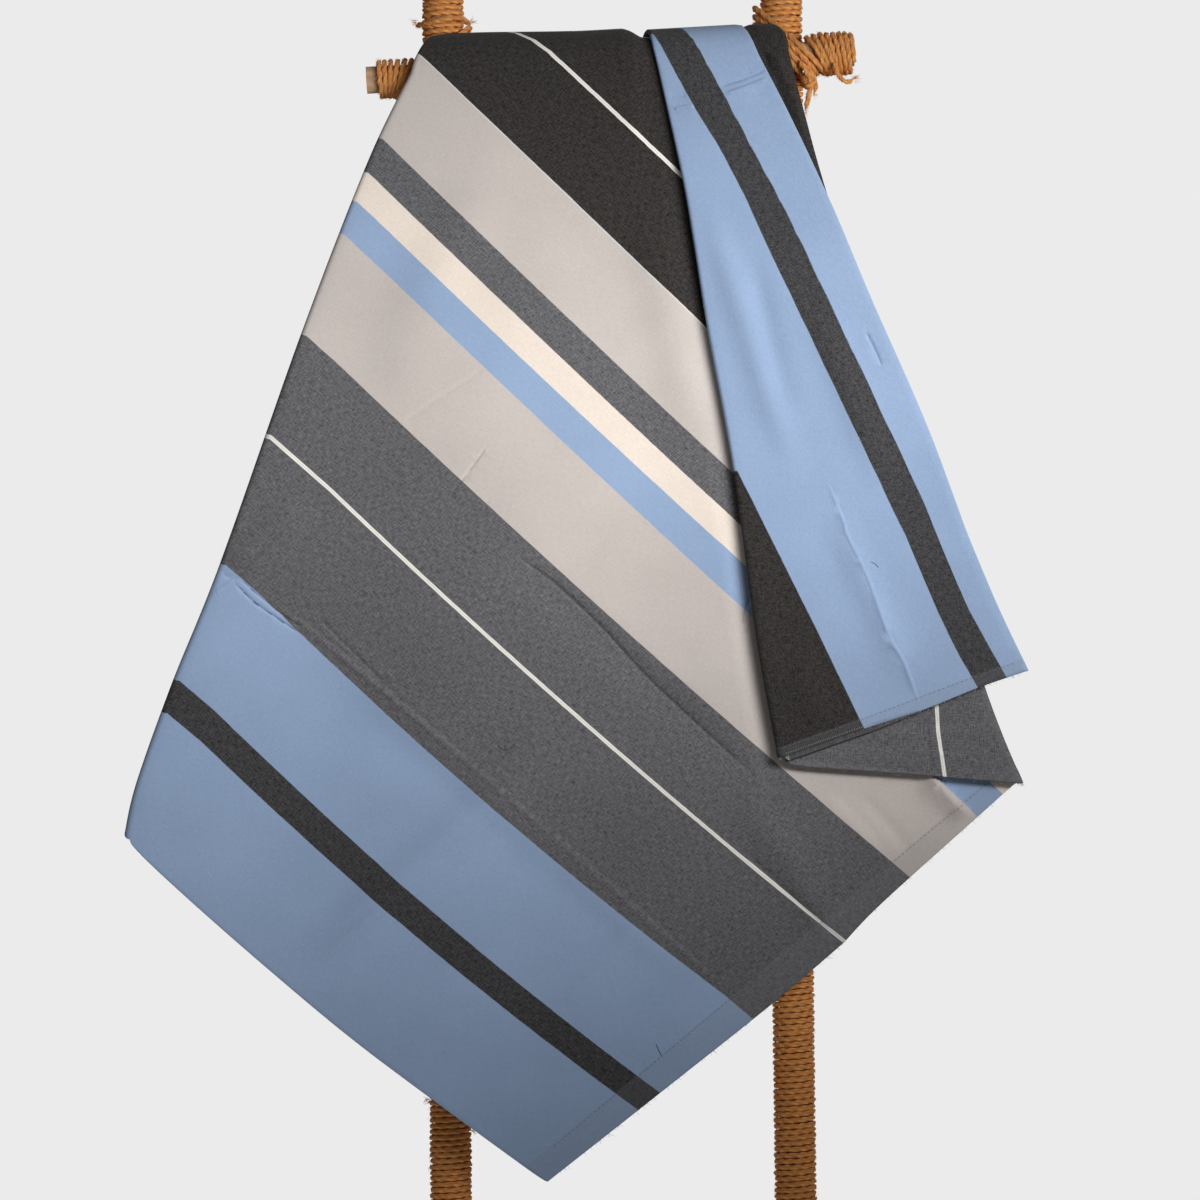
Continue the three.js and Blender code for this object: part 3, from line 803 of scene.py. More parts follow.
# across, and how deep the hem is turned up there
HEM_WIDTHS = [(0, 23.0), (600, 23.0), (640, 4.0), (800, 4.0), (830, 8.5), (900, 9.0), (1010, 12.5)]


def hem_width(across):
    return np.interp(across, *np.array(HEM_WIDTHS).T)


# The flap's own white line, as x and z, and the height below which the stripes follow it.
FLAP_LINE = [(351.5, 497), (345, 540), (343.5, 568), (349, 620), (356, 680), (380, 800), (400, 1209)]
FLAP_LINE_ACROSS = 666.9
FLAP_STRETCH = 1.02
FLAP_TOP = 640.0
FLAP_BLEND = 90.0


def flap_across(x, z):
    line_x, line_z = np.array(FLAP_LINE, float).T
    return FLAP_LINE_ACROSS + FLAP_STRETCH * (np.interp(z, line_z, line_x) - x)


def unrolled(stretch, zone, at, share):
    """x and height as if the cloth went straight on up past the rod."""
    x, value = panel_place(stretch, zone, at, share)
    if zone == "front":
        return x, value
    if zone == "over":
        return x, rod_axis(x) + math.pi * at * over_depth(stretch.panel.layer, x, at)
    return x, rod_axis(x) + math.pi * over_depth(stretch.panel.layer, x, 1 + 0 * at) + value


def cloth_on_stretch(stretch, zone, at, share):
    """across and along."""
    if stretch.kind == "turn" or stretch.panel.name == "pleat":
        number = STRETCHES.index(stretch)
        step = 1 if stretch.kind == "turn" else 2
        first = cloth_on_stretch(STRETCHES[number - step], zone, at, np.ones_like(share))
        second = cloth_on_stretch(STRETCHES[number + step], zone, at, np.zeros_like(share))
        across, along = mix(first[0], second[0], share), mix(first[1], second[1], share)
        if stretch.kind == "panel" and zone == "front":
            x, z = panel_place(stretch, zone, at, share)
            across = mix(flap_across(x, z), across, smooth((z - FLAP_TOP) / FLAP_BLEND))
        return across, along
    x, z = unrolled(stretch, zone, at, share)
    if stretch.panel.name == "tail":
        return tail_cloth(x, z)
    if stretch.panel.name == "back_flap":
        if zone != "front":
            return main_cloth(2 * on_line("left_fold", zone, at)[0] - x, z)
        fold_x, fold_z = front_curves["left_fold"](at)
        low_x, low_z = front_curves["left_fold"](np.clip(at - MIRROR_STEP, 0, 1))
        high_x, high_z = front_curves["left_fold"](np.clip(at + MIRROR_STEP, 0, 1))
        run_x, run_z = high_x - low_x, high_z - low_z
        length = np.hypot(run_x, run_z)
        side = ((x - fold_x) * run_z - (z - fold_z) * run_x) / length
        x = x - 2 * side * run_z / length
        z = z + 2 * side * run_x / length
    return main_cloth(x, z)


def cloth_place(columns, rows):
    """across and along for points of the drape, and the same for the yarns of its weave."""
    place = np.zeros((len(columns), 4))
    for stretch, zone, chosen, at, share in groups(columns, rows):
        across, along = cloth_on_stretch(stretch, zone, at, share)
        place[chosen] = np.stack([across, along, across, along], -1)
        if stretch.panel.name == "pleat" and stretch.kind == "panel":
            x, z = unrolled(stretch, zone, at, share)
            place[chosen, 2:] = np.stack([-x, z], -1)
    return place.T

# %% [markdown]
# The mesh. A plain grid fine enough for the creases would be far too heavy, so each square of a
# coarse grid is split in four, up to four times, where the cloth shows or is creased. Only the skin
# that faces forward is fine: the front one, and on the pleat, which is turned over, the back one.
# The split squares leave extra corners on their neighbours' sides, which become many-sided faces.

# %% Choosing the squares
FINEST = 16
BIG = 1 << 16
LOW_CORNER = (-426.0, 438.0)
CORNER_REACH = 26.0
CORNER_SIZE = 2.5
FLAP_SIZE = 19.0
TURN_SIZE = 3.2
OVER_SIZE = 8.0
BEHIND_SIZE = 10.0
HIDDEN_SIZES = {"main": 12.0, "tail": 9.0, "pleat": 9.0}
PLAIN_SIZES = {"main": 9.6, "tail": 9.6, "pleat": 13.0}
# Along a crease a square is this share of the crease's width, and never smaller than the second.
CREASE_SHARE = 0.6
SMALLEST_SIZE = 0.9
# The hem's step, how far from it the squares are that small, and the band of hem around it.
HEM_STEP_SIZE = 1.6
HEM_STEP_REACH = 2.2
HEM_BAND_SIZE = 4.0
HEM_BAND = 18.0


def corner_keys(i, j):
    return i.astype(np.int64) * BIG + j.astype(np.int64)


def space_of_keys(keys):
    return (keys // BIG) / FINEST, (keys % BIG) / FINEST


def wanted_size(columns, rows, face):
    """How large a square may be, in millimetres, around a point of the drape."""
    size = np.full(len(columns), FLAP_SIZE)
    for stretch, zone, chosen, at, share in groups(columns, rows):
        layer = stretch.panel.layer
        if stretch.kind == "turn":
            size[chosen] = TURN_SIZE
            continue
        if zone != "front":
            size[chosen] = OVER_SIZE if zone == "over" else BEHIND_SIZE
            continue
        x, z = panel_place(stretch, zone, at, share)
        corner = np.hypot(x - LOW_CORNER[0], z - LOW_CORNER[1])
        at_corner = (corner < CORNER_REACH) & (layer == "main")
        size[chosen] = np.where(at_corner, CORNER_SIZE, size[chosen])
        if layer == "back_flap":
            continue
        if (face == "back") != (layer == "pleat"):
            size[chosen] = HIDDEN_SIZES[layer]
            continue
        plain = PLAIN_SIZES[layer]
        fine = np.clip(CREASE_SHARE * near_crease(layer, x, z, 1.5), SMALLEST_SIZE, plain)
        across, along = cloth_on_stretch(stretch, zone, at, share)
        step = np.abs(along - hem_width(across))
        band = np.where(along < HEM_BAND, HEM_BAND_SIZE, plain)
        hem = np.where(step < HEM_STEP_REACH, HEM_STEP_SIZE, band)
        size[chosen] = np.minimum(size[chosen], np.minimum(fine, hem))
    return size


def choose_squares(face):
    i, j = np.meshgrid(np.arange(COLUMN_COUNT), np.arange(ROW_COUNT), indexing="ij")
    i, j = i.ravel() * FINEST, j.ravel() * FINEST
    size = FINEST
    done = []
    while size > 1 and len(i):
        middle_column, middle_row = (i + size / 2) / FINEST, (j + size / 2) / FINEST
        corners = [
            drape((i + a * size) / FINEST, (j + b * size) / FINEST)
            for a, b in ((0, 0), (1, 0), (0, 1))
        ]
        width = np.linalg.norm(corners[1] - corners[0], axis=1)
        height = np.linalg.norm(corners[2] - corners[0], axis=1)
        split = np.sqrt(width * height) > wanted_size(middle_column, middle_row, face)
        done.append((i[~split], j[~split], size))
        i, j = i[split], j[split]
        size //= 2
        i = np.concatenate([i, i + size, i, i + size])
        j = np.concatenate([j, j, j + size, j + size])
    done.append((i, j, size))
    return done


squares = {face: choose_squares(face) for face in ("front", "back")}
for face, found in squares.items():
    print(face, "squares by size:", {size: len(i) for i, _, size in found})

# %% [markdown]
# Both faces of the doubled sheet are offset from its middle by half its thickness. They have to
# meet along the rim corner by corner, so the rim's corners of both are used by both.

# %% Corners and faces of the two skins
def square_corners(found):
    keys = [corner_keys(i + a * size, j + b * size) for i, j, size in found for a in (0, 1) for b in (0, 1)]
    return np.unique(np.concatenate(keys))


WIDE = COLUMN_COUNT * FINEST
TALL = ROW_COUNT * FINEST


def on_rim(keys):
    i, j = keys // BIG, keys % BIG
    return (i == 0) | (i == WIDE) | (j == 0) | (j == TALL)


corner_sets = {face: square_corners(found) for face, found in squares.items()}
rim_keys = np.unique(np.concatenate([keys[on_rim(keys)] for keys in corner_sets.values()]))
corner_sets = {face: np.unique(np.concatenate([keys, rim_keys])) for face, keys in corner_sets.items()}


def skin_faces(found, keys, first_index, flip):
    """Each square as a polygon through every corner that lies on its sides."""
    faces = []
    for i, j, size in found:
        steps = np.arange(size)
        ring_i = np.concatenate([steps, np.full(size, size), size - steps, np.zeros(size, int)])
        ring_j = np.concatenate([np.zeros(size, int), steps, np.full(size, size), size - steps])
        ring = corner_keys(i[:, None] + ring_i, j[:, None] + ring_j)
        place = np.clip(np.searchsorted(keys, ring), 0, len(keys) - 1)
        known = keys[place] == ring
        for row, used in zip(place, known):
            face = (row[used] + first_index).tolist()
            faces.append(face[::-1] if flip else face)
    return faces


def rim_order():
    """The rim's keys in order round the sheet."""
    i, j = rim_keys // BIG, rim_keys % BIG
    bottom = rim_keys[j == 0][np.argsort(i[j == 0])]
    right = rim_keys[i == WIDE][np.argsort(j[i == WIDE])]
    top = rim_keys[j == TALL][np.argsort(-i[j == TALL])]
    left = rim_keys[i == 0][np.argsort(-j[i == 0])]
    return np.concatenate([bottom[:-1], right[:-1], top[:-1], left[:-1]])


rim_loop = rim_order()
print("rim corners:", len(rim_loop))

# %% [markdown]
# The normal comes from two small steps across and up the drape. The front skin goes out along it
# and the back skin goes in. A hem shows two thin layers with a narrow gap, and a tube fold is round,
# so the rim gets three more rows of corners: two on the layers' inner edges and one between them.
# The skin that is turned away has no creases. It stands off behind them, so that they never meet it.

# %% Build the cloth
NORMAL_STEP = 0.03
HEM_GAP = 0.25
HEM_DEPTH = 9.0
HEM_RISE = 0.4
HEM_RAMP = 2.4
PEEK = 4.6
PEEK_BAND = 664.0
PEEK_RUN = 16.0
PEEK_END = 905.0
PEEK_FADE = 60.0


def drape_and_normal(columns, rows, creasing=1):
    points = drape(columns, rows, creasing)
    left = drape(np.clip(columns - NORMAL_STEP, 0, COLUMN_COUNT), rows, creasing)
    right = drape(np.clip(columns + NORMAL_STEP, 0, COLUMN_COUNT), rows, creasing)
    low = drape(columns, np.clip(rows - NORMAL_STEP, 0, ROW_COUNT), creasing)
    high = drape(columns, np.clip(rows + NORMAL_STEP, 0, ROW_COUNT), creasing)
    normal = np.cross(right - left, high - low)
    normal /= np.linalg.norm(normal, axis=1)[:, None]
    return points, normal


def stand_off(columns, rows):
    """How far the skin that is turned away stays behind the creases, and which skin has them."""
    room = np.zeros(len(columns))
    creased = np.zeros((len(columns), 1), int)
    for stretch, zone, chosen, at, share in groups(columns, rows):
        if zone == "front" and stretch.kind == "panel":
            x, z = panel_place(stretch, zone, at, share)
            room[chosen] = trough_near(stretch.panel.layer, x, z)
            creased[chosen] = -1 if stretch.panel.name == "pleat" else 1
    return room, creased


def build_cloth():
    all_keys = np.unique(np.concatenate(list(corner_sets.values())))
    columns, rows = space_of_keys(all_keys)
    middle, normal = drape_and_normal(columns, rows)
    plain, plain_normal = drape_and_normal(columns, rows, creasing=0)
    room, creased = stand_off(columns, rows)
    plain[:, 1] += room
    across, along, yarn_across, yarn_along = cloth_place(columns, rows)
    index_of = {face: np.searchsorted(all_keys, keys) for face, keys in corner_sets.items()}

    front_at = index_of["front"]
    back_at = index_of["back"]
    hemmed = HEM_RISE * (1 - smooth((along - hem_width(across) + HEM_RAMP / 2) / HEM_RAMP))
    half = (CLOTH / 2 + hemmed)[:, None]
    inside = hem_width(across) - along
    front_skin = np.where(creased > 0, middle + half * normal, plain + half * plain_normal)
    back_skin = np.where(creased < 0, middle - half * normal, plain - half * plain_normal)
    points = [front_skin[front_at], back_skin[back_at]]
    flat = np.stack([across, along, inside, yarn_across, yarn_along], -1)
    flat_places = [flat[front_at], flat[back_at]]
    back_start = len(front_at)
    rim_start = back_start + len(back_at)

    rim_at = np.searchsorted(all_keys, rim_loop)
    rim_columns, rim_rows = space_of_keys(rim_loop)
    inside_columns = np.clip(rim_columns, 1 / FINEST, COLUMN_COUNT - 1 / FINEST)
    inside_rows = np.clip(rim_rows, 1 / FINEST, ROW_COUNT - 1 / FINEST)
    out = middle[rim_at] - drape(inside_columns, inside_rows)
    out /= np.linalg.norm(out, axis=1)[:, None]
    folded = (rim_rows == 0) & (rim_columns < TIP_COLUMN)
    folded |= rim_columns == COLUMN_COUNT
    folded = folded[:, None]
    half = normal[rim_at] * CLOTH / 2
    gap = normal[rim_at] * HEM_GAP / 2
    place = middle[rim_at]
    tail_start = STRETCHES[-1].start
    peek = smooth((rim_columns - tail_start) / 0.25) * (1 - smooth((across[rim_at] - PEEK_END) / PEEK_FADE))
    under = flat[rim_at]
    peeking = peek > 0
    under[:, 0] = np.where(peeking, PEEK_BAND + PEEK_RUN * (rim_columns - tail_start), under[:, 0])
    peek = (PEEK * peek * (rim_rows == 0))[:, None] * out
    points[1][np.searchsorted(corner_sets["back"], rim_loop)] += peek
    points += [
        np.where(folded, place + 0.7 * half + 0.35 * CLOTH * out, place + gap),
        np.where(folded, place + 0.5 * CLOTH * out, place - HEM_DEPTH * out),
        np.where(folded, place - 0.7 * half + 0.35 * CLOTH * out, place + peek - gap),
    ]
    flat_places[1][np.searchsorted(corner_sets["back"], rim_loop)] = under
    flat_places += [flat[rim_at], under, under]

    faces = skin_faces(squares["front"], corner_sets["front"], 0, False)
    front_faces = len(faces)
    faces += skin_faces(squares["back"], corner_sets["back"], back_start, True)
    skins = len(faces)
    count = len(rim_loop)
    loops = [
        np.searchsorted(corner_sets["front"], rim_loop),
        rim_start + np.arange(count), rim_start + count + np.arange(count),
        rim_start + 2 * count + np.arange(count),
        back_start + np.searchsorted(corner_sets["back"], rim_loop),
    ]
    reverse = [0] * front_faces + [1] * (skins - front_faces)
    for level, (upper, lower) in enumerate(zip(loops, loops[1:])):
        for k in range(count):
            after = (k + 1) % count
            faces.append([upper[k], lower[k], lower[after], upper[after]])
            reverse.append(0 if level < 2 else 1)
    return np.concatenate(points), faces, np.concatenate(flat_places), reverse


def new_object(name, points, faces):
    mesh = bpy.data.meshes.new(name)
    mesh.from_pydata(to_model(points).tolist(), [], faces)
    mesh.validate()
    mesh.polygons.foreach_set("use_smooth", [True] * len(mesh.polygons))
    piece = bpy.data.objects.new(name, mesh)
    bpy.context.scene.collection.objects.link(piece)
    return piece


def add_attribute(piece, name, values, domain="POINT"):
    layer = piece.data.attributes.new(name, "FLOAT", domain)
    layer.data.foreach_set("value", np.asarray(values, np.float32))


def triangle_count(piece):
    return sum(len(face.vertices) - 2 for face in piece.data.polygons)


cloth_points, cloth_faces, flat_place, reverse = build_cloth()
sarong = new_object("sarong_cloth", cloth_points, cloth_faces)
for column, name in enumerate(["across", "along", "inside_hem", "yarn_across", "yarn_along"]):
    add_attribute(sarong, name, flat_place[:, column])
add_attribute(sarong, "reverse", reverse, "FACE")
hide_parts("sarong")
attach(sarong, "root")
print("cloth:", len(cloth_points), "corners,", triangle_count(sarong), "triangles")

# %% [markdown]
# The hem is held by a running stitch along its turned edge and small slanting stitches over the
# edge itself. Each stitch is a short thread that dips into the cloth at both ends. To place them we
# look for the row of the drape where the cloth is a given distance from its edge.

# %% Stitches, loose threads and frayed yarns
THREAD_SIDES = 5
HEM_ROWS = 7
HEM_START_COLUMN = TIP_COLUMN + 0.3


def row_at(columns, distance):
    """For each column, the row where the cloth is this far from the hem."""
    rows = np.linspace(0, HEM_ROWS, HEM_ROWS * 16 + 1)
    wide = np.repeat(columns, len(rows))
    along = cloth_place(wide, np.tile(rows, len(columns)))[1]
    along = along.reshape(len(columns), -1)
    return np.array([np.interp(d, a, rows) for d, a in zip(distance, along)])


def tubes(lines, radii, sides):
    """Corners and faces of many thin closed tubes that have the same number of points."""
    lines = np.asarray(lines, float)
    count, steps, _ = lines.shape
    run = unit(np.gradient(lines, axis=1))
    upright = np.abs(run.mean(1)[:, 1]) < 0.8
    helper = np.where(upright[:, None, None], [[[0.0, 1.0, 0.0]]], [[[1.0, 0.0, 0.0]]])
    side = unit(np.cross(run, helper))
    other = np.cross(side, run)
    angle = np.arange(sides) / sides * 2 * math.pi
    ring = np.cos(angle)[:, None] * side[:, :, None] + np.sin(angle)[:, None] * other[:, :, None]
    corners = lines[:, :, None] + ring * np.asarray(radii)[:, :, None, None]
    m = np.arange(sides)
    after = (m + 1) % sides
    low = (np.arange(steps - 1) * sides)[:, None]
    quads = np.stack([low + m, low + after, low + sides + after, low + sides + m], -1).reshape(-1, 4)
    caps = np.stack([m[::-1], (steps - 1) * sides + m])
    first = (np.arange(count) * steps * sides)[:, None, None]
    faces = (first + quads).reshape(-1, 4).tolist() + (first + caps).reshape(-1, sides).tolist()
    return corners.reshape(-1, 3), faces


def threads_object(name, lines, radii, material, slot="cotton", sides=THREAD_SIDES):
    """One piece made of many threads, each a line of points with a radius at each."""
    points, faces = tubes(lines, radii, sides)
    piece = new_object(name, points, faces)
    piece.data.materials.append(material)
    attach(piece, "root")
    print(name, len(lines), "threads,", triangle_count(piece), "triangles")
    return piece


def thread_material(name, colour):
    material, tree, output = new_material(name)
    place = add_node(tree, "NewGeometry").outputs["Position"]
    grain = add_node(tree, "TexNoise", {"Vector": place, "Scale": 900.0, "Detail": 2.0}).outputs[0]
    dark = tuple(0.7 * value for value in colour[:3]) + (1,)
    twist = mixed_colour(tree, grain, dark, colour)
    yarn = add_node(tree, "BsdfPrincipled", {
        "Base Color": twist, "Roughness": 0.85, "Specular IOR Level": 0.2, "Sheen Weight": 0.1})
    tree.links.new(yarn.outputs[0], output.inputs[0])
    return material


def stitched_line(columns, distance, rise):
    """Points on the front of the cloth, that far from the hem."""
    rows = row_at(columns, distance)
    points, normal = drape_and_normal(columns, rows)
    return points + normal * (CLOTH / 2 + rise)[:, None]


STITCH_PITCH = 4.6
STITCH_LENGTH = 2.9
STITCH_RADIUS = 0.22
STITCH_STEPS = 5
FRAY_STEPS = 4
FRAY_RADIUS = 0.16
FRAY_COUNT = 420


def running_stitches():
    guide_columns = np.arange(HEM_START_COLUMN, COLUMN_COUNT - 0.2, 0.12)
    across = cloth_place(guide_columns, np.full(len(guide_columns), 0.5))[0]
    inset = hem_width(across) - 1.6
    guide = stitched_line(guide_columns, inset, np.full(len(guide_columns), HEM_RISE))
    length = np.concatenate([[0], np.cumsum(np.linalg.norm(np.diff(guide, axis=0), axis=1))])
    stitches = []
    for start in np.arange(2.0, length[-1] - 4, STITCH_PITCH):
        share = np.linspace(0, 1, STITCH_STEPS)
        at = start + share * STITCH_LENGTH
        columns = np.interp(at, length, guide_columns)
        rise = HEM_RISE + 0.12 * np.sin(math.pi * share) + 0.32 * (np.sin(math.pi * share) - 1) * 0.5
        stitches.append(stitched_line(columns, np.interp(at, length, inset), rise))
    return stitches


def edge_stitches(first_column, last_column, pitch, reach, seed):
    """Slanting stitches over the hem's edge."""
    random = np.random.default_rng(seed)
    stitches = []
    for column in np.arange(first_column, last_column, pitch):
        columns = column + np.linspace(0, pitch * 0.55, STITCH_STEPS)
        depth = np.linspace(0.3, reach * random.uniform(0.8, 1.2), STITCH_STEPS)
        bend = np.sin(math.pi * np.linspace(0, 1, STITCH_STEPS))
        rise = HEM_RISE + 0.3 * bend - 0.12
        stitches.append(stitched_line(columns, depth, rise))
    return stitches


def frayed_yarns(count, seed):
    """Short ends of yarn that stick out of the hem."""
    random = np.random.default_rng(seed)
    columns = random.uniform(HEM_START_COLUMN, COLUMN_COUNT - 0.25, count)
    rows = np.zeros(count)
    points, normal = drape_and_normal(columns, rows)
    inner = drape(columns, rows + 0.15)
    out = unit(points - inner)
    aside = unit(np.cross(normal, out))
    yarns = []
    for point, face, away, turn in zip(points, normal, out, aside):
        length = random.uniform(1.4, 4.2)
        lean = random.normal(0, 0.5)
        curl = random.normal(0, 0.6)
        share = np.linspace(0, 1, FRAY_STEPS)[:, None]
        start = point + face * random.uniform(-0.7, 0.7) - away * 0.8
        line = start + away * length * share + turn * length * (lean * share + curl * share ** 2)
        yarns.append(line)
    return yarns


def on_face(layer, points, rise=0.15):
    """A line of x, z points laid on the front of a layer."""
    x, z = curve_through(points)(np.linspace(0, 1, 14))
    return np.stack([x, -(front_depth(layer, x, z) + CLOTH / 2 + rise), z], -1)


LOOSE_THREADS = [
    ("tail", [(281, 701), (285, 699), (288, 696)]),
    ("main", [(-73, 527), (-68, 523), (-62, 524), (-57, 529)]),
    ("main", [(77, 243), (83, 231), (92, 221), (101, 213)]),
    ("pleat", [(237, 545), (243, 540), (247, 541)]),
]
seam_thread = thread_material("seam_thread", (0.190, 0.200, 0.225, 1))
pale_thread = thread_material("pale_thread", (0.420, 0.430, 0.450, 1))
dark_thread = thread_material("dark_thread", (0.030, 0.034, 0.050, 1))
tail_column = STRETCHES[-1].start


def even_threads(lines, radius):
    return lines, np.full((len(lines), len(lines[0])), radius)


hem_stitches = threads_object("hem_stitches", *even_threads(running_stitches(), STITCH_RADIUS), seam_thread)
edge_stitching = threads_object("edge_stitches", *even_threads(
    edge_stitches(tail_column + 0.15, tail_column + 5.6, 0.13, 1.5, 5), STITCH_RADIUS), pale_thread)
yarn_ends = frayed_yarns(FRAY_COUNT, 6)
fray_radii = FRAY_RADIUS * (1 - 0.6 * np.linspace(0, 1, FRAY_STEPS))
frayed = threads_object(
    "frayed_yarns", yarn_ends, np.tile(fray_radii, (len(yarn_ends), 1)), pale_thread)
loose = threads_object("loose_threads", *even_threads(
    [on_face(layer, points) for layer, points in LOOSE_THREADS], 0.28), dark_thread)

# %% [markdown]
# The cotton is a plain weave of dyed yarns. Each stripe is a group of yarns, so its edge is sharp
# but not ruled: it wanders by a fraction of a yarn. We lay the bands one over the other, each
# starting at its own distance across the cloth, for the front face and for the back one.

# %% Colours of the stripes
BLUE = (0.315, 0.425, 0.620, 1)
BLACK = (0.056, 0.054, 0.057, 1)
CHARCOAL = (0.036, 0.032, 0.030, 1)
DARK_GREY = (0.132, 0.129, 0.136, 1)
BEIGE = (0.600, 0.540, 0.505, 1)
CREAM = (0.870, 0.765, 0.670, 1)
WHITE = (0.950, 0.920, 0.860, 1)
LINE_SHADE = (0.640, 0.600, 0.550, 1)
HAIRLINE = (0.760, 0.735, 0.700, 1)

Band = namedtuple("Band", "start colour")
LINE_WIDTH = 3.6
LINE_SEAM = 0.5


def fine_line(middle, around):
    """Two white cords side by side, with a thin seam between them."""
    return [
        Band(middle - LINE_WIDTH / 2, WHITE), Band(middle - LINE_SEAM / 2, LINE_SHADE),
        Band(middle + LINE_SEAM / 2, WHITE), Band(middle + LINE_WIDTH / 2, around),
    ]


FRONT_BANDS = [
    Band(0, BLUE), Band(115.9, BLACK), Band(143.5, BLUE), Band(252.7, DARK_GREY),
    *fine_line(371.5, DARK_GREY), Band(462.7, BEIGE), Band(556.7, BLUE), Band(589.0, CREAM),
    Band(616.6, DARK_GREY), Band(648.9, BEIGE), Band(732.6, HAIRLINE), Band(733.6, CHARCOAL),
    *fine_line(818.9, CHARCOAL), Band(902.5, BLUE), Band(1011.8, BLACK), Band(1043.1, BLUE),
]
BACK_BANDS = [
    Band(0, BLUE), Band(11.4, DARK_GREY), *fine_line(96.0, DARK_GREY), Band(180.5, BEIGE),
    Band(265.1, DARK_GREY), Band(297.4, CREAM), Band(324.9, BLUE), Band(357.2, BEIGE),
    Band(451.3, DARK_GREY), *fine_line(666.9, DARK_GREY), Band(838.0, CHARCOAL),
]

# %% [markdown]
# Yarn makes the surface lively. Noise stretched about five times along the stripes gives the streaks
# of the warp, and the same noise turned gives the weft. The dark bands mix pale and dark yarns, so
# there the streaks are strong; on the beige and blue bands they are only a breath.

# %% Cotton
EDGE_SOFTNESS = 0.35
# The band inside the hem is painted greyer and darker: partly the hem's own look, partly painted shade along
# the turned hem.
HEM_GREY_AND_SHADE = (0.240, 0.245, 0.260, 1)
HEM_SHARE = 0.16
YARN_WANDER = 0.9


def attribute(tree, name):
    return add_node(tree, "Attribute", attribute_name=name).outputs["Fac"]


def streaks(tree, along, across, along_scale, across_scale, detail=2.0):
    place = add_node(tree, "CombineXYZ", {
        0: math_value(tree, "MULTIPLY", along, along_scale),
        1: math_value(tree, "MULTIPLY", across, across_scale),
    }).outputs[0]
    return add_node(tree, "TexNoise", {"Vector": place, "Scale": 1.0, "Detail": detail}).outputs[0]


def laid_bands(tree, coordinate, bands):
    colour = bands[0].colour
    for band in bands[1:]:
        edge = add_node(tree, "MapRange", {
            0: coordinate, 1: band.start - EDGE_SOFTNESS, 2: band.start + EDGE_SOFTNESS, 3: 0.0, 4: 1.0,
        }).outputs[0]
        colour = mixed_colour(tree, edge, colour, band.colour)
    return colour


def cotton():
    material, tree, output = new_material("striped_cotton")
    across = attribute(tree, "across")
    along = attribute(tree, "along")
    reverse = attribute(tree, "reverse")
    wander = streaks(tree, along, across, 0.06, 0.9)
    centred = math_value(tree, "SUBTRACT", wander, 0.5)
    coordinate = math_value(tree, "ADD", across, math_value(tree, "MULTIPLY", centred, YARN_WANDER))
    colour = mixed_colour(
        tree, reverse, laid_bands(tree, coordinate, FRONT_BANDS), laid_bands(tree, coordinate, BACK_BANDS))

    yarn_across = attribute(tree, "yarn_across")
    yarn_along = attribute(tree, "yarn_along")
    warp = streaks(tree, yarn_along, yarn_across, 0.16, 0.85, 1.5)
    weft = streaks(tree, yarn_along, yarn_across, 0.85, 0.16, 1.5)
    slub = streaks(tree, yarn_along, yarn_across, 0.8, 0.8, 1.0)
    cloud = streaks(tree, along, across, 0.012, 0.012, 2.0)
    yarn = math_value(tree, "ADD", math_value(tree, "ADD", warp, weft), slub)
    yarn = math_value(tree, "SUBTRACT", yarn, 1.5)
    light = add_node(tree, "RGBToBW", {0: colour}).outputs[0]
    contrast = add_node(tree, "MapRange", {0: light, 1: 0.03, 2: 0.35, 3: 1.9, 4: 0.17}).outputs[0]
    strength = math_value(tree, "MULTIPLY_ADD", yarn, contrast, 1.0)
    strength = math_value(tree, "MULTIPLY", strength, add_node(
        tree, "MapRange", {0: cloud, 1: 0.25, 2: 0.75, 3: 0.95, 4: 1.05}).outputs[0])
    colour = shaded(tree, colour, strength)

    threads = add_node(tree, "Bump", {
        "Height": math_value(tree, "ADD", warp, weft), "Strength": 0.35, "Distance": 0.0004,
    }).outputs[0]
    # Painted shade: inside the hem the colour is mixed towards grey.
    hem = add_node(tree, "MapRange", {
        0: attribute(tree, "inside_hem"), 1: -0.6, 2: 0.6, 3: 0.0, 4: HEM_SHARE}).outputs[0]
    colour = mixed_colour(tree, hem, colour, HEM_GREY_AND_SHADE)
    cloth = add_node(tree, "BsdfPrincipled", {
        "Base Color": colour, "Normal": threads, "Roughness": 0.92, "Specular IOR Level": 0.18,
        "Sheen Weight": 0.06, "Sheen Roughness": 0.6,
    })
    tree.links.new(cloth.outputs[0], output.inputs[0])
    return material


sarong.data.materials.append(cotton())
print("stripes:", len(FRONT_BANDS), "bands in front,", len(BACK_BANDS), "behind")

# %% [markdown]
# The rack is wound with coir yarn: two strands of coconut fibre, twisted. A ring of corners with
# two soft lobes, turned a little at each step along the rope's line, gives the strands in the mesh
# itself. A seeded unevenness keeps the turns from looking machined.

# %% A twisted rope along a line
ROPE = 5.7
ROPE_PITCH = 5.6
STRANDS = 2
LAY = 21.0
ROPE_SIDES = 8
LOBE = 0.16
UNEVEN = 0.07


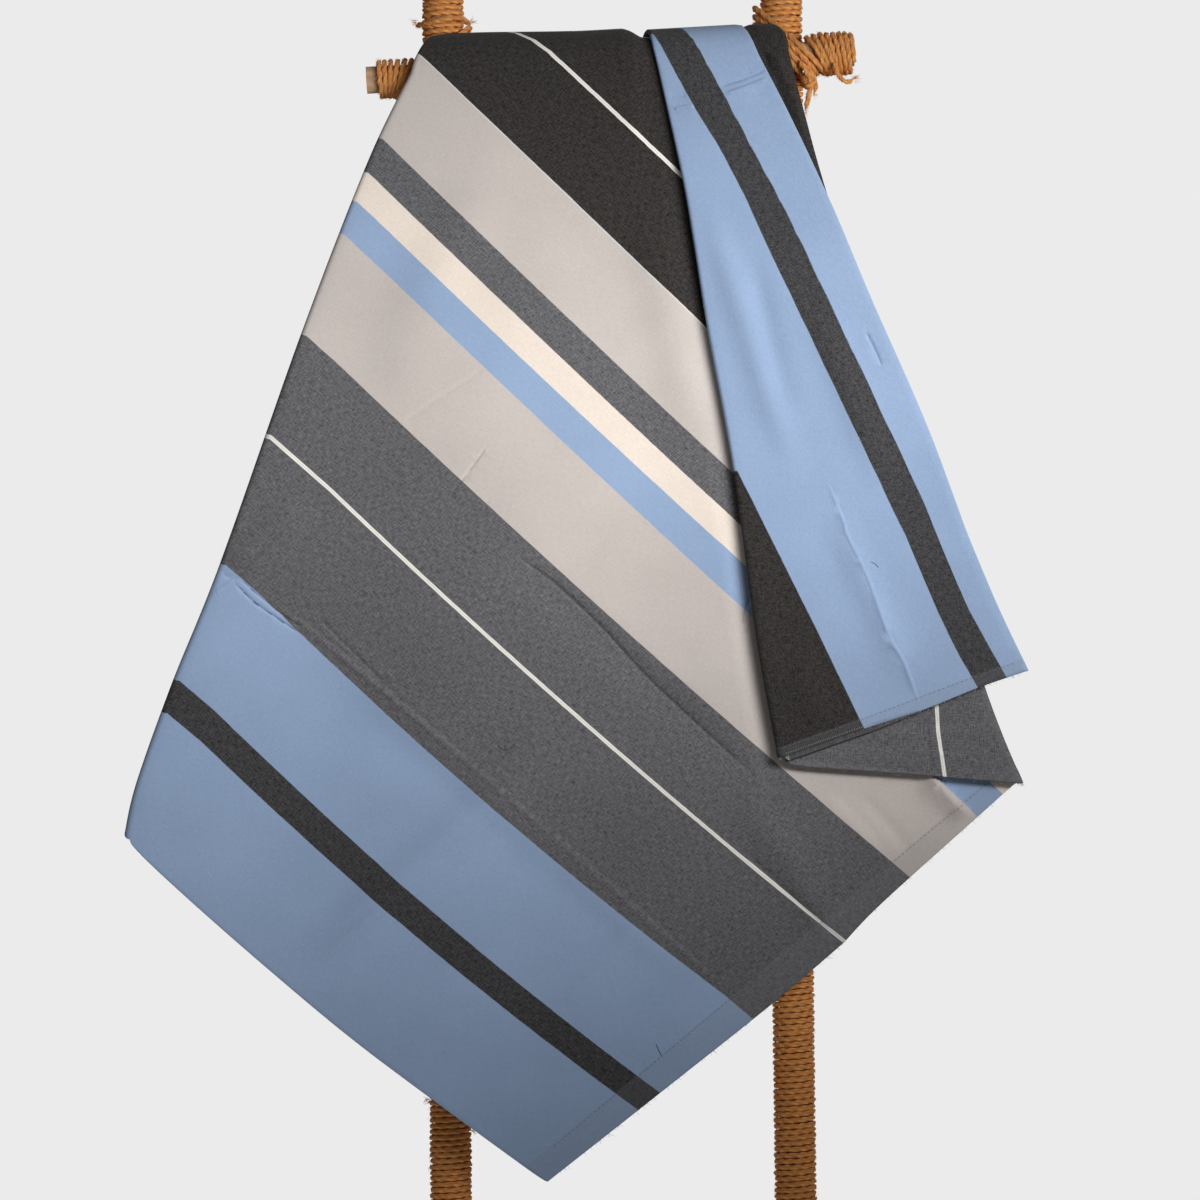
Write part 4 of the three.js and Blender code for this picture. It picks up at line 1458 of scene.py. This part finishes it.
def rope_rings(line, outward, radius, closed, taper):
    """Corners of a rope along a line, with how far along and how far round each lies."""
    line = np.asarray(line, float)
    if closed:
        ahead, back = np.roll(line, -1, 0), np.roll(line, 1, 0)
    else:
        ahead = np.vstack([line[1:], 2 * line[-1] - line[-2]])
        back = np.vstack([2 * line[0] - line[1], line[:-1]])
    tangent = unit(ahead - back)
    side = unit(np.cross(tangent, outward))
    normal = np.cross(side, tangent)
    gaps = np.linalg.norm(np.diff(line, axis=0), axis=1)
    along = np.concatenate([[0], np.cumsum(gaps)])
    lay = LAY
    if closed:
        whole = along[-1] + np.linalg.norm(line[0] - line[-1])
        lay = whole / max(1, round(whole / LAY))
    angle = np.arange(ROPE_SIDES) / ROPE_SIDES * 2 * math.pi
    around = angle[None, :] - 2 * math.pi * along[:, None] / lay
    size = np.full(len(line), radius)
    if taper:
        end = np.minimum(along, along[-1] - along)
        size = size * (0.35 + 0.65 * smooth(end / taper))
    random = np.random.default_rng(len(line))
    uneven = 1 + UNEVEN * random.normal(0, 1, around.shape).clip(-1.5, 1.5)
    lobes = size[:, None] * (1 - LOBE + LOBE * np.cos(STRANDS * around)) * uneven
    corners = line[:, None] + lobes[..., None] * (
        np.cos(angle)[None, :, None] * normal[:, None] + np.sin(angle)[None, :, None] * side[:, None])
    return corners, np.repeat(along[:, None], ROPE_SIDES, 1), around


def rope_faces(rings, closed, first):
    """Faces between the rings, with a cap at each end of an open rope."""
    faces = []
    for ring in range(rings if closed else rings - 1):
        after = (ring + 1) % rings
        for k in range(ROPE_SIDES):
            turn = (k + 1) % ROPE_SIDES
            faces.append([
                first + ring * ROPE_SIDES + k, first + ring * ROPE_SIDES + turn,
                first + after * ROPE_SIDES + turn, first + after * ROPE_SIDES + k,
            ])
    if not closed:
        faces.append([first + k for k in reversed(range(ROPE_SIDES))])
        faces.append([first + (rings - 1) * ROPE_SIDES + k for k in range(ROPE_SIDES)])
    return faces


RopeRun = namedtuple("RopeRun", "line outward closed taper radius")
rope_surfaces = {}


def rope_object(name, runs, nodes):
    """One piece of all the runs, which stands for the given nodes of the model."""
    rope_surfaces[name] = []
    points, faces, along, around = [], [], [], []
    first = 0
    for run in runs:
        corners, run_along, run_around = rope_rings(run.line, run.outward, run.radius, run.closed, run.taper)
        faces += rope_faces(len(run.line), run.closed, first)
        points.append(corners.reshape(-1, 3))
        along.append(run_along.ravel())
        around.append(run_around.ravel())
        first += len(points[-1])
        rope_surfaces[name].append((np.asarray(run.line, float), corners, run.closed))
    rope = new_object(name, np.concatenate(points), faces)
    add_attribute(rope, "along", np.concatenate(along))
    add_attribute(rope, "around", np.concatenate(around))
    rope.data.materials.append(coir_material)
    if nodes:
        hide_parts(*nodes)
    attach(rope, "root")
    print(name, triangle_count(rope), "triangles")
    return rope

# %% [markdown]
# Coir is a rusty gold, with single fibres that run along each strand. Between the strands it is darker,
# from dust and from painted shade in the grooves, and the strands' crowns carry a little painted highlight.
# The streaks follow the twist because they use the rope's own coordinates: how far along it, and how far
# round.

# %% Coir
COIR_DARK = (0.580, 0.195, 0.050, 1)
COIR_MIDDLE = (0.960, 0.385, 0.100, 1)
COIR_LIGHT = (0.980, 0.570, 0.210, 1)


def coir():
    material, tree, output = new_material("coir_rope")
    along = attribute(tree, "along")
    around = attribute(tree, "around")
    fibres = streaks(tree, along, around, 0.16, 3.2, 4.0)
    specks = streaks(tree, along, around, 0.9, 1.6, 3.0)
    # Painted shade and painted highlight: the strands' lobe darkens the grooves and lightens the crowns in
    # the colour, and also shapes the bump.
    lobe = math_value(tree, "COSINE", math_value(tree, "MULTIPLY", around, float(STRANDS)))
    height = math_value(tree, "MULTIPLY_ADD", lobe, 0.12, fibres)
    height = math_value(tree, "ADD", height, math_value(tree, "MULTIPLY", specks, 0.35))
    low = add_node(tree, "MapRange", {0: height, 1: 0.38, 2: 0.66}).outputs[0]
    high = add_node(tree, "MapRange", {0: height, 1: 0.62, 2: 0.98}).outputs[0]
    colour = mixed_colour(tree, low, COIR_DARK, COIR_MIDDLE)
    colour = mixed_colour(tree, high, colour, COIR_LIGHT)
    rough = add_node(tree, "Bump", {"Height": height, "Strength": 0.9, "Distance": 0.0012}).outputs[0]
    skin = add_node(tree, "BsdfPrincipled", {
        "Base Color": colour, "Normal": rough, "Roughness": 0.88, "Specular IOR Level": 0.25,
    })
    tree.links.new(skin.outputs[0], output.inputs[0])
    return material


coir_material = coir()

# %% [markdown]
# The posts and the rod are wound with one rope each, turn beside turn. Hand-wound turns are never
# even, so their spacing and tightness wander a little, from a seeded random table.

# %% Rope wound round a bar
STEPS_PER_TURN = 40
TUCK_TURNS = 0.7


def wound(origin, direction, start, end, seed, bar, outer,
          slant=None, loosen=0.25, rope=ROPE, pitch=ROPE_PITCH):
    """A helix of rope round a bar, out to a radius. slant says how far its turns lean."""
    random = np.random.default_rng(seed)
    direction = unit(np.array(direction, float))
    across = np.array([0.0, 1.0, 0.0])
    other = np.cross(direction, across)
    turns = (end - start) / pitch
    steps = max(8, int(turns * STEPS_PER_TURN))
    share = np.linspace(0, 1, steps + 1)
    angle = share * turns * 2 * math.pi
    knots = np.linspace(0, 1, int(turns * 3) + 4)
    spacing = np.interp(share, knots, random.normal(0, 0.22, len(knots)))
    lift = np.interp(share, knots, random.normal(0, loosen, len(knots)))
    to_end = np.minimum(share, 1 - share) * turns
    tucked = bar + WRAP_GAP + rope / 2 + 0.3
    reach = mix(tucked, outer - rope / 2 + lift, smooth(to_end / TUCK_TURNS))
    outward = np.cos(angle)[:, None] * across + np.sin(angle)[:, None] * other
    travel = start + share * (end - start) + spacing
    if slant is not None:
        travel = travel + slant(share) * (ROD_RADIUS + rope / 2) * np.sin(angle)
    line = np.array(origin, float) + travel[:, None] * direction + reach[:, None] * outward
    return RopeRun(line, outward, False, 0, rope / 2)


FOOT_TOP = 30.0
POST_TOP = 1300.0
POST_BARE_TOP = 16.0
for number, post in enumerate(POSTS):
    run = wound(
        (post.floor_x, POST_SETBACK, 0), (-post.lean, 0, 1),
        FOOT_TOP + ROPE / 2 + 0.6, POST_TOP - POST_BARE_TOP - ROPE / 2, 11 + number, POST_RADIUS, WRAP_RADIUS)
    rope_object(post.side + "_post_rope", [run], [post.side + "_post_wrap"])

ROD_ORIGIN = (0.0, 0.0, ROD_HEIGHT)
ROD_DIRECTION = (1.0, 0.0, ROD_SLOPE)
ROD_WRAP = ROD_RADIUS + WRAP_GAP + WRAP_DEPTH - 0.3
ROD_WRAP_THIN = ROD_WRAP - 2.0
RodWrap = namedtuple("RodWrap", "side start end outer slant loosen rope pitch")
ROD_WRAPS = [
    RodWrap("left", -189, -152, ROD_WRAP_THIN, lambda share: 0.85 * share ** 1.5, 0.3, 5.0, 4.9),
    RodWrap("middle", -84, 146, ROD_WRAP, None, 0.08, ROPE, ROPE_PITCH),
    RodWrap("right", 230, 266.5, ROD_WRAP, lambda share: -0.6 * (1 - share) ** 1.5, 0.3, 5.0, 4.8),
]
for number, wrap in enumerate(ROD_WRAPS):
    run = wound(
        ROD_ORIGIN, ROD_DIRECTION, wrap.start, wrap.end, 21 + number, ROD_RADIUS, wrap.outer,
        wrap.slant, wrap.loosen, wrap.rope, wrap.pitch)
    rope_object("rod_rope_" + wrap.side, [run], ["rod_wrap_" + wrap.side])

# %% [markdown]
# The rod is tied to each post by four turns of rope on a slant. Each turn is the shortest belt
# round two ovals: the slanted cuts through the rod and through the wound post.

# %% Diagonal lashings
LASHING_GAP = 1.9
LASHING_TURNS = 4
LASHING_PITCH = 5.75
BELT_STEPS = 72


def oval(centre_a, centre_y, half_a, half_y, samples=60):
    angle = np.arange(samples) / samples * 2 * math.pi
    return np.stack([centre_a + half_a * np.cos(angle), centre_y + half_y * np.sin(angle)], -1)


def belt_around(points):
    """The corners of the shortest belt round a set of points, in order."""
    ordered = sorted(map(tuple, points))

    def half(chain_points):
        chain = []
        for point in chain_points:
            while len(chain) > 1:
                ax, ay = chain[-1][0] - chain[-2][0], chain[-1][1] - chain[-2][1]
                bx, by = point[0] - chain[-2][0], point[1] - chain[-2][1]
                if ax * by - ay * bx > 0:
                    break
                chain.pop()
            chain.append(point)
        return chain[:-1]

    return np.array(half(ordered) + half(ordered[::-1]))


def lashing_run(post, offset):
    root_half = math.sqrt(0.5)
    along = np.array([post.hand * root_half, 0, -root_half])
    aside = np.array([post.hand * root_half, 0, root_half])
    rise = post.hand * ROD_SLOPE
    tilt = post.hand * post.lean
    lay = ROPE / 2 + LASHING_GAP
    around_rod, around_post = ROD_RADIUS + lay, WRAP_RADIUS + lay
    rod_half = around_rod * math.sqrt(2) / (1 + rise)
    post_half = around_post * math.sqrt(2) / (1 - tilt)
    belt = belt_around(np.vstack([
        oval(offset * (1 - rise) / (1 + rise), 0, rod_half, around_rod),
        oval(-offset * (1 + tilt) / (1 - tilt), POST_SETBACK, post_half, around_post),
    ]))
    closed = np.vstack([belt, belt[:1]])
    length = np.concatenate([[0], np.cumsum(np.hypot(*np.diff(closed, axis=0).T))])
    at = np.arange(BELT_STEPS) / BELT_STEPS * length[-1]
    flat = np.stack([np.interp(at, length, closed[:, 0]), np.interp(at, length, closed[:, 1])], -1)
    run = np.roll(flat, -1, 0) - np.roll(flat, 1, 0)
    out = unit(np.stack([run[:, 1], -run[:, 0]], -1))
    crossing = post.floor_x - post.lean * rod_axis(post.floor_x)
    centre = np.array([crossing, 0, rod_axis(crossing)]) + aside * offset
    line = centre + flat[:, :1] * along + flat[:, 1:] * np.array([0, 1, 0])
    outward = out[:, :1] * along + out[:, 1:] * np.array([0, 1, 0])
    return RopeRun(line, outward, True, 0, ROPE / 2)


for post in POSTS:
    runs = [lashing_run(post, turn * LASHING_PITCH) for turn in range(LASHING_TURNS)]
    rope_object(post.side + "_lashing_rope", runs, [f"{post.side}_lashing_{number}" for number in (1, 2, 3)])

# %% [markdown]
# The rope's ends were left as they were tied: a turn with two stubs near the top of the left post,
# a frayed end under the rod's right tip, and a small knot that hangs beside the cloth.

# %% Knot and loose rope ends
FACING = np.array([0.0, -1.0, 0.0])


def free_rope(points, radius=ROPE / 2, taper=6.0):
    count = max(8, int(np.linalg.norm(np.diff(points, axis=0), axis=1).sum() / 1.6))
    line = np.stack(curve_through(points)(np.linspace(0, 1, count)), -1)
    return RopeRun(line, np.tile(FACING, (count, 1)), False, taper, radius)


def loose_turn(post, height, start, end, flare):
    """A turn on top of the winding, from one angle to another in degrees, with stubs that stick out."""
    angle = np.radians(np.linspace(start, end, 60))
    share = np.linspace(-1, 1, 60)
    reach = WRAP_RADIUS + ROPE * 0.3 + flare * smooth((np.abs(share) - 0.82) / 0.18)
    outward = np.stack([np.cos(angle), np.sin(angle), 0 * angle], -1)
    axis = np.array([post.floor_x - post.lean * height, POST_SETBACK, height])
    rise = np.stack([0 * share, 0 * share, 2.5 * np.sin(3 * share) - 3.0 * share ** 4], -1)
    return RopeRun(axis + outward * reach[:, None] + rise, outward, False, 5, ROPE / 2)


KNOT_CENTRE = (224.5, -18.0, 1157.0)
KNOT_RING = 4.4
THIN_END = ROPE * 0.42


def knot_ring():
    angle = np.arange(18) / 18 * 2 * math.pi
    outward = np.stack([np.cos(angle), np.sin(angle), 0.35 * np.cos(angle)], -1)
    return RopeRun(np.array(KNOT_CENTRE) + KNOT_RING * outward, unit(outward), True, 0, THIN_END)


rope_object("rope_ends", [
    loose_turn(POSTS[0], 1222, 174, 366, 3.4),
    free_rope([(214, -21, 1180), (221, -20, 1168), (225, -18, 1157), (223, -16, 1146), (220, -14, 1134)]),
    free_rope([(219, -18, 1176), (227, -15, 1166), (230, -14, 1156), (228, -13, 1149)], THIN_END),
    knot_ring(),
    free_rope(
        [(247, -21, 1178), (250, -20, 1168), (256, -17, 1161), (262, -14, 1160), (266, -12, 1163)], THIN_END),
], [])

# %% [markdown]
# Coir is never smooth: short fibres lie along the twist and stick out of it everywhere, and stand
# in tufts where a yarn was cut. We grow them from points on the ropes' own surfaces.

# %% Fibres
FIBRE_POINTS = 5
FIBRE_SIDES = 3
FIBRE_RADIUS = 0.2
FIBRE_FADE = np.array([0.8, 1.0, 0.9, 0.65, 0.25])
LYING = np.array([-0.2, 0.25, 0.4, 0.3, -0.1])
STANDING = np.array([-0.3, 0.2, 0.7, 1.6, 2.7])
FIBRE_DARK = (0.740, 0.250, 0.058, 1)
FIBRE_PALE = (0.980, 0.580, 0.220, 1)


def fibre_lines(surfaces, count, seed, seen=None):
    """Fibres on the outer side of the ropes. seen weighs the rings by their height."""
    random = np.random.default_rng(seed)
    lines = []
    weights = [len(line) if seen is None else seen(line[:, 2]).sum() for line, _, _ in surfaces]
    shares = np.array(weights, float) / sum(weights)
    for (line, corners, closed), share in zip(surfaces, shares):
        number = int(round(count * share))
        chance = np.ones(len(line)) if seen is None else seen(line[:, 2])
        chance = chance * (1.0 if closed else np.arange(len(line)) < len(line) - FIBRE_POINTS)
        ring = random.choice(len(line), number, p=chance / chance.sum())
        steps = np.arange(FIBRE_POINTS)
        rings = (ring[:, None] + steps) % len(line)
        start = random.uniform(-2.4, 1.2, number)
        drift = random.normal(0.8, 0.45, number)
        sides = (start[:, None] + drift[:, None] * steps) % ROPE_SIDES
        low = np.floor(sides).astype(int) % ROPE_SIDES
        skin = mix(corners[rings, low], corners[rings, (low + 1) % ROPE_SIDES], (sides % 1)[..., None])
        away = unit(skin - line[rings])
        standing = random.uniform(0, 1, (number, 1)) < 0.3
        lift = np.where(standing, STANDING * random.uniform(0.4, 1.3, (number, 1)), LYING)
        lines.append(skin + away * lift[..., None])
    return np.concatenate(lines)


def tuft_lines(place, direction, count, length, seed):
    """A spray of fibres from a cut end."""
    random = np.random.default_rng(seed)
    way = unit(unit(np.array(direction, float)) + random.normal(0, 0.35, (count, 3)))
    bend = random.normal(0, 0.25, (count, 1, 3))
    share = np.linspace(0, 1, FIBRE_POINTS)[None, :, None]
    start = np.array(place, float) + random.normal(0, 1.1, (count, 1, 3))
    reach = length * random.uniform(0.5, 1.2, (count, 1, 1))
    return start + reach * (way[:, None] * share + bend * share ** 2)


def fibre_material():
    material, tree, output = new_material("coir_fibre")
    tone = attribute(tree, "tone")
    colour = mixed_colour(tree, tone, FIBRE_DARK, FIBRE_PALE)
    place = add_node(tree, "NewGeometry").outputs["Position"]
    grain = add_node(tree, "TexNoise", {"Vector": place, "Scale": 700.0, "Detail": 2.0}).outputs[0]
    shade = add_node(tree, "MapRange", {0: grain, 3: 0.75, 4: 1.2}).outputs[0]
    colour = shaded(tree, colour, shade)
    hair = add_node(tree, "BsdfPrincipled", {
        "Base Color": colour, "Roughness": 0.7, "Specular IOR Level": 0.3})
    tree.links.new(hair.outputs[0], output.inputs[0])
    return material


fibre_skin = fibre_material()


def fibre_object(name, lines, seed):
    random = np.random.default_rng(seed)
    thickness = FIBRE_RADIUS * random.uniform(0.6, 1.3, (len(lines), 1)) * FIBRE_FADE
    piece = threads_object(name, lines, thickness, fibre_skin, "coir", FIBRE_SIDES)
    tone = random.beta(2, 2, len(lines))
    add_attribute(piece, "tone", np.repeat(tone, FIBRE_POINTS * FIBRE_SIDES))
    return piece


def seen_on_post(height):
    """The stretches of a post that the cloth leaves in view get more fibres."""
    return 1.0 + 2.5 * (height < 330) + 2.5 * (height > 1190)


POST_FIBRES = {"left": 4200, "right": 4800}
for number, (side, count) in enumerate(POST_FIBRES.items()):
    lines = fibre_lines(rope_surfaces[side + "_post_rope"], count, 31 + number, seen_on_post)
    fibre_object(side + "_post_fibres", lines, 41 + number)

SMALL_ROPES = ["rod_rope_left", "rod_rope_right", "left_lashing_rope", "right_lashing_rope", "rope_ends"]
small_ropes = [surface for name in SMALL_ROPES for surface in rope_surfaces[name]]
Tuft = namedtuple("Tuft", "place direction count length")
TUFTS = [
    Tuft((266, -12, 1163), (1, -0.2, 0.3), 26, 7),
    Tuft((220, -14, 1134), (-0.1, -0.2, -1), 22, 6),
    Tuft((228, -13, 1149), (0.4, -0.2, -1), 16, 5),
    Tuft((-153, 20, 1221), (-1, -0.4, -0.6), 24, 5),
    Tuft((-100, 20, 1221), (1, -0.4, 0.2), 20, 5),
    Tuft((-141, 20, 184), (-1, -0.5, -0.3), 22, 6),
    Tuft((-99, 20, 155), (1, -0.5, -0.3), 18, 5),
]
rod_lines = [fibre_lines(small_ropes, 4300, 33)]
rod_lines += [tuft_lines(*tuft, 51 + number) for number, tuft in enumerate(TUFTS)]
fibre_object("rod_fibres", np.concatenate(rod_lines), 43)

# %% [markdown]
# The rack's wood is a pale, dry softwood that shows at the rod's end, the post tops, the feet and
# the stretcher. The shapes come from the model; a small bevel takes off their sawn edges.

# %% Wood
WOOD_PALE = (0.700, 0.460, 0.290, 1)
WOOD_DARK = (0.430, 0.240, 0.125, 1)


def wood(name, stretch):
    """Grain as noise that is stretched along the piece; stretch is its scale along x, y and z."""
    material, tree, output = new_material(name)
    place = add_node(tree, "TexCoord").outputs["Object"]
    place = add_node(tree, "Mapping", {"Vector": place, "Scale": stretch}).outputs[0]
    grain = add_node(tree, "TexNoise", {
        "Vector": place, "Scale": 1.0, "Detail": 6.0, "Distortion": 0.6,
    }).outputs[0]
    rings = add_node(tree, "TexWave", {
        "Vector": place, "Scale": 0.5, "Distortion": 5.0, "Detail": 3.0,
    }).outputs["Fac"]
    height = math_value(tree, "MULTIPLY_ADD", rings, 0.35, math_value(tree, "MULTIPLY", grain, 0.8))
    share = add_node(tree, "MapRange", {0: height, 1: 0.25, 2: 0.85}).outputs[0]
    colour = mixed_colour(tree, share, WOOD_PALE, WOOD_DARK)
    rough = add_node(tree, "Bump", {"Height": height, "Strength": 0.25, "Distance": 0.0006}).outputs[0]
    timber = add_node(tree, "BsdfPrincipled", {
        "Base Color": colour, "Normal": rough, "Roughness": 0.62, "Specular IOR Level": 0.35,
    })
    tree.links.new(timber.outputs[0], output.inputs[0])
    return material


WOOD_GRAINS = {"x": (6, 130, 130), "y": (130, 6, 130), "z": (130, 130, 6)}
woods = {axis: wood("pine_along_" + axis, stretch) for axis, stretch in WOOD_GRAINS.items()}
WOODEN = {
    "rod": "x", "stretcher": "x", "left_foot": "y", "right_foot": "y", "left_post": "z", "right_post": "z",
}
BEVEL = 1.6
for node, axis in WOODEN.items():
    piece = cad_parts[node]
    piece.data.materials.clear()
    piece.data.materials.append(woods[axis])
    bevel = piece.modifiers.new("eased_edges", "BEVEL")
    bevel.width = BEVEL * MM
    bevel.segments = 3
    bevel.limit_method = "ANGLE"
    bevel.angle_limit = math.radians(50)
print("wooden pieces:", sorted(WOODEN))
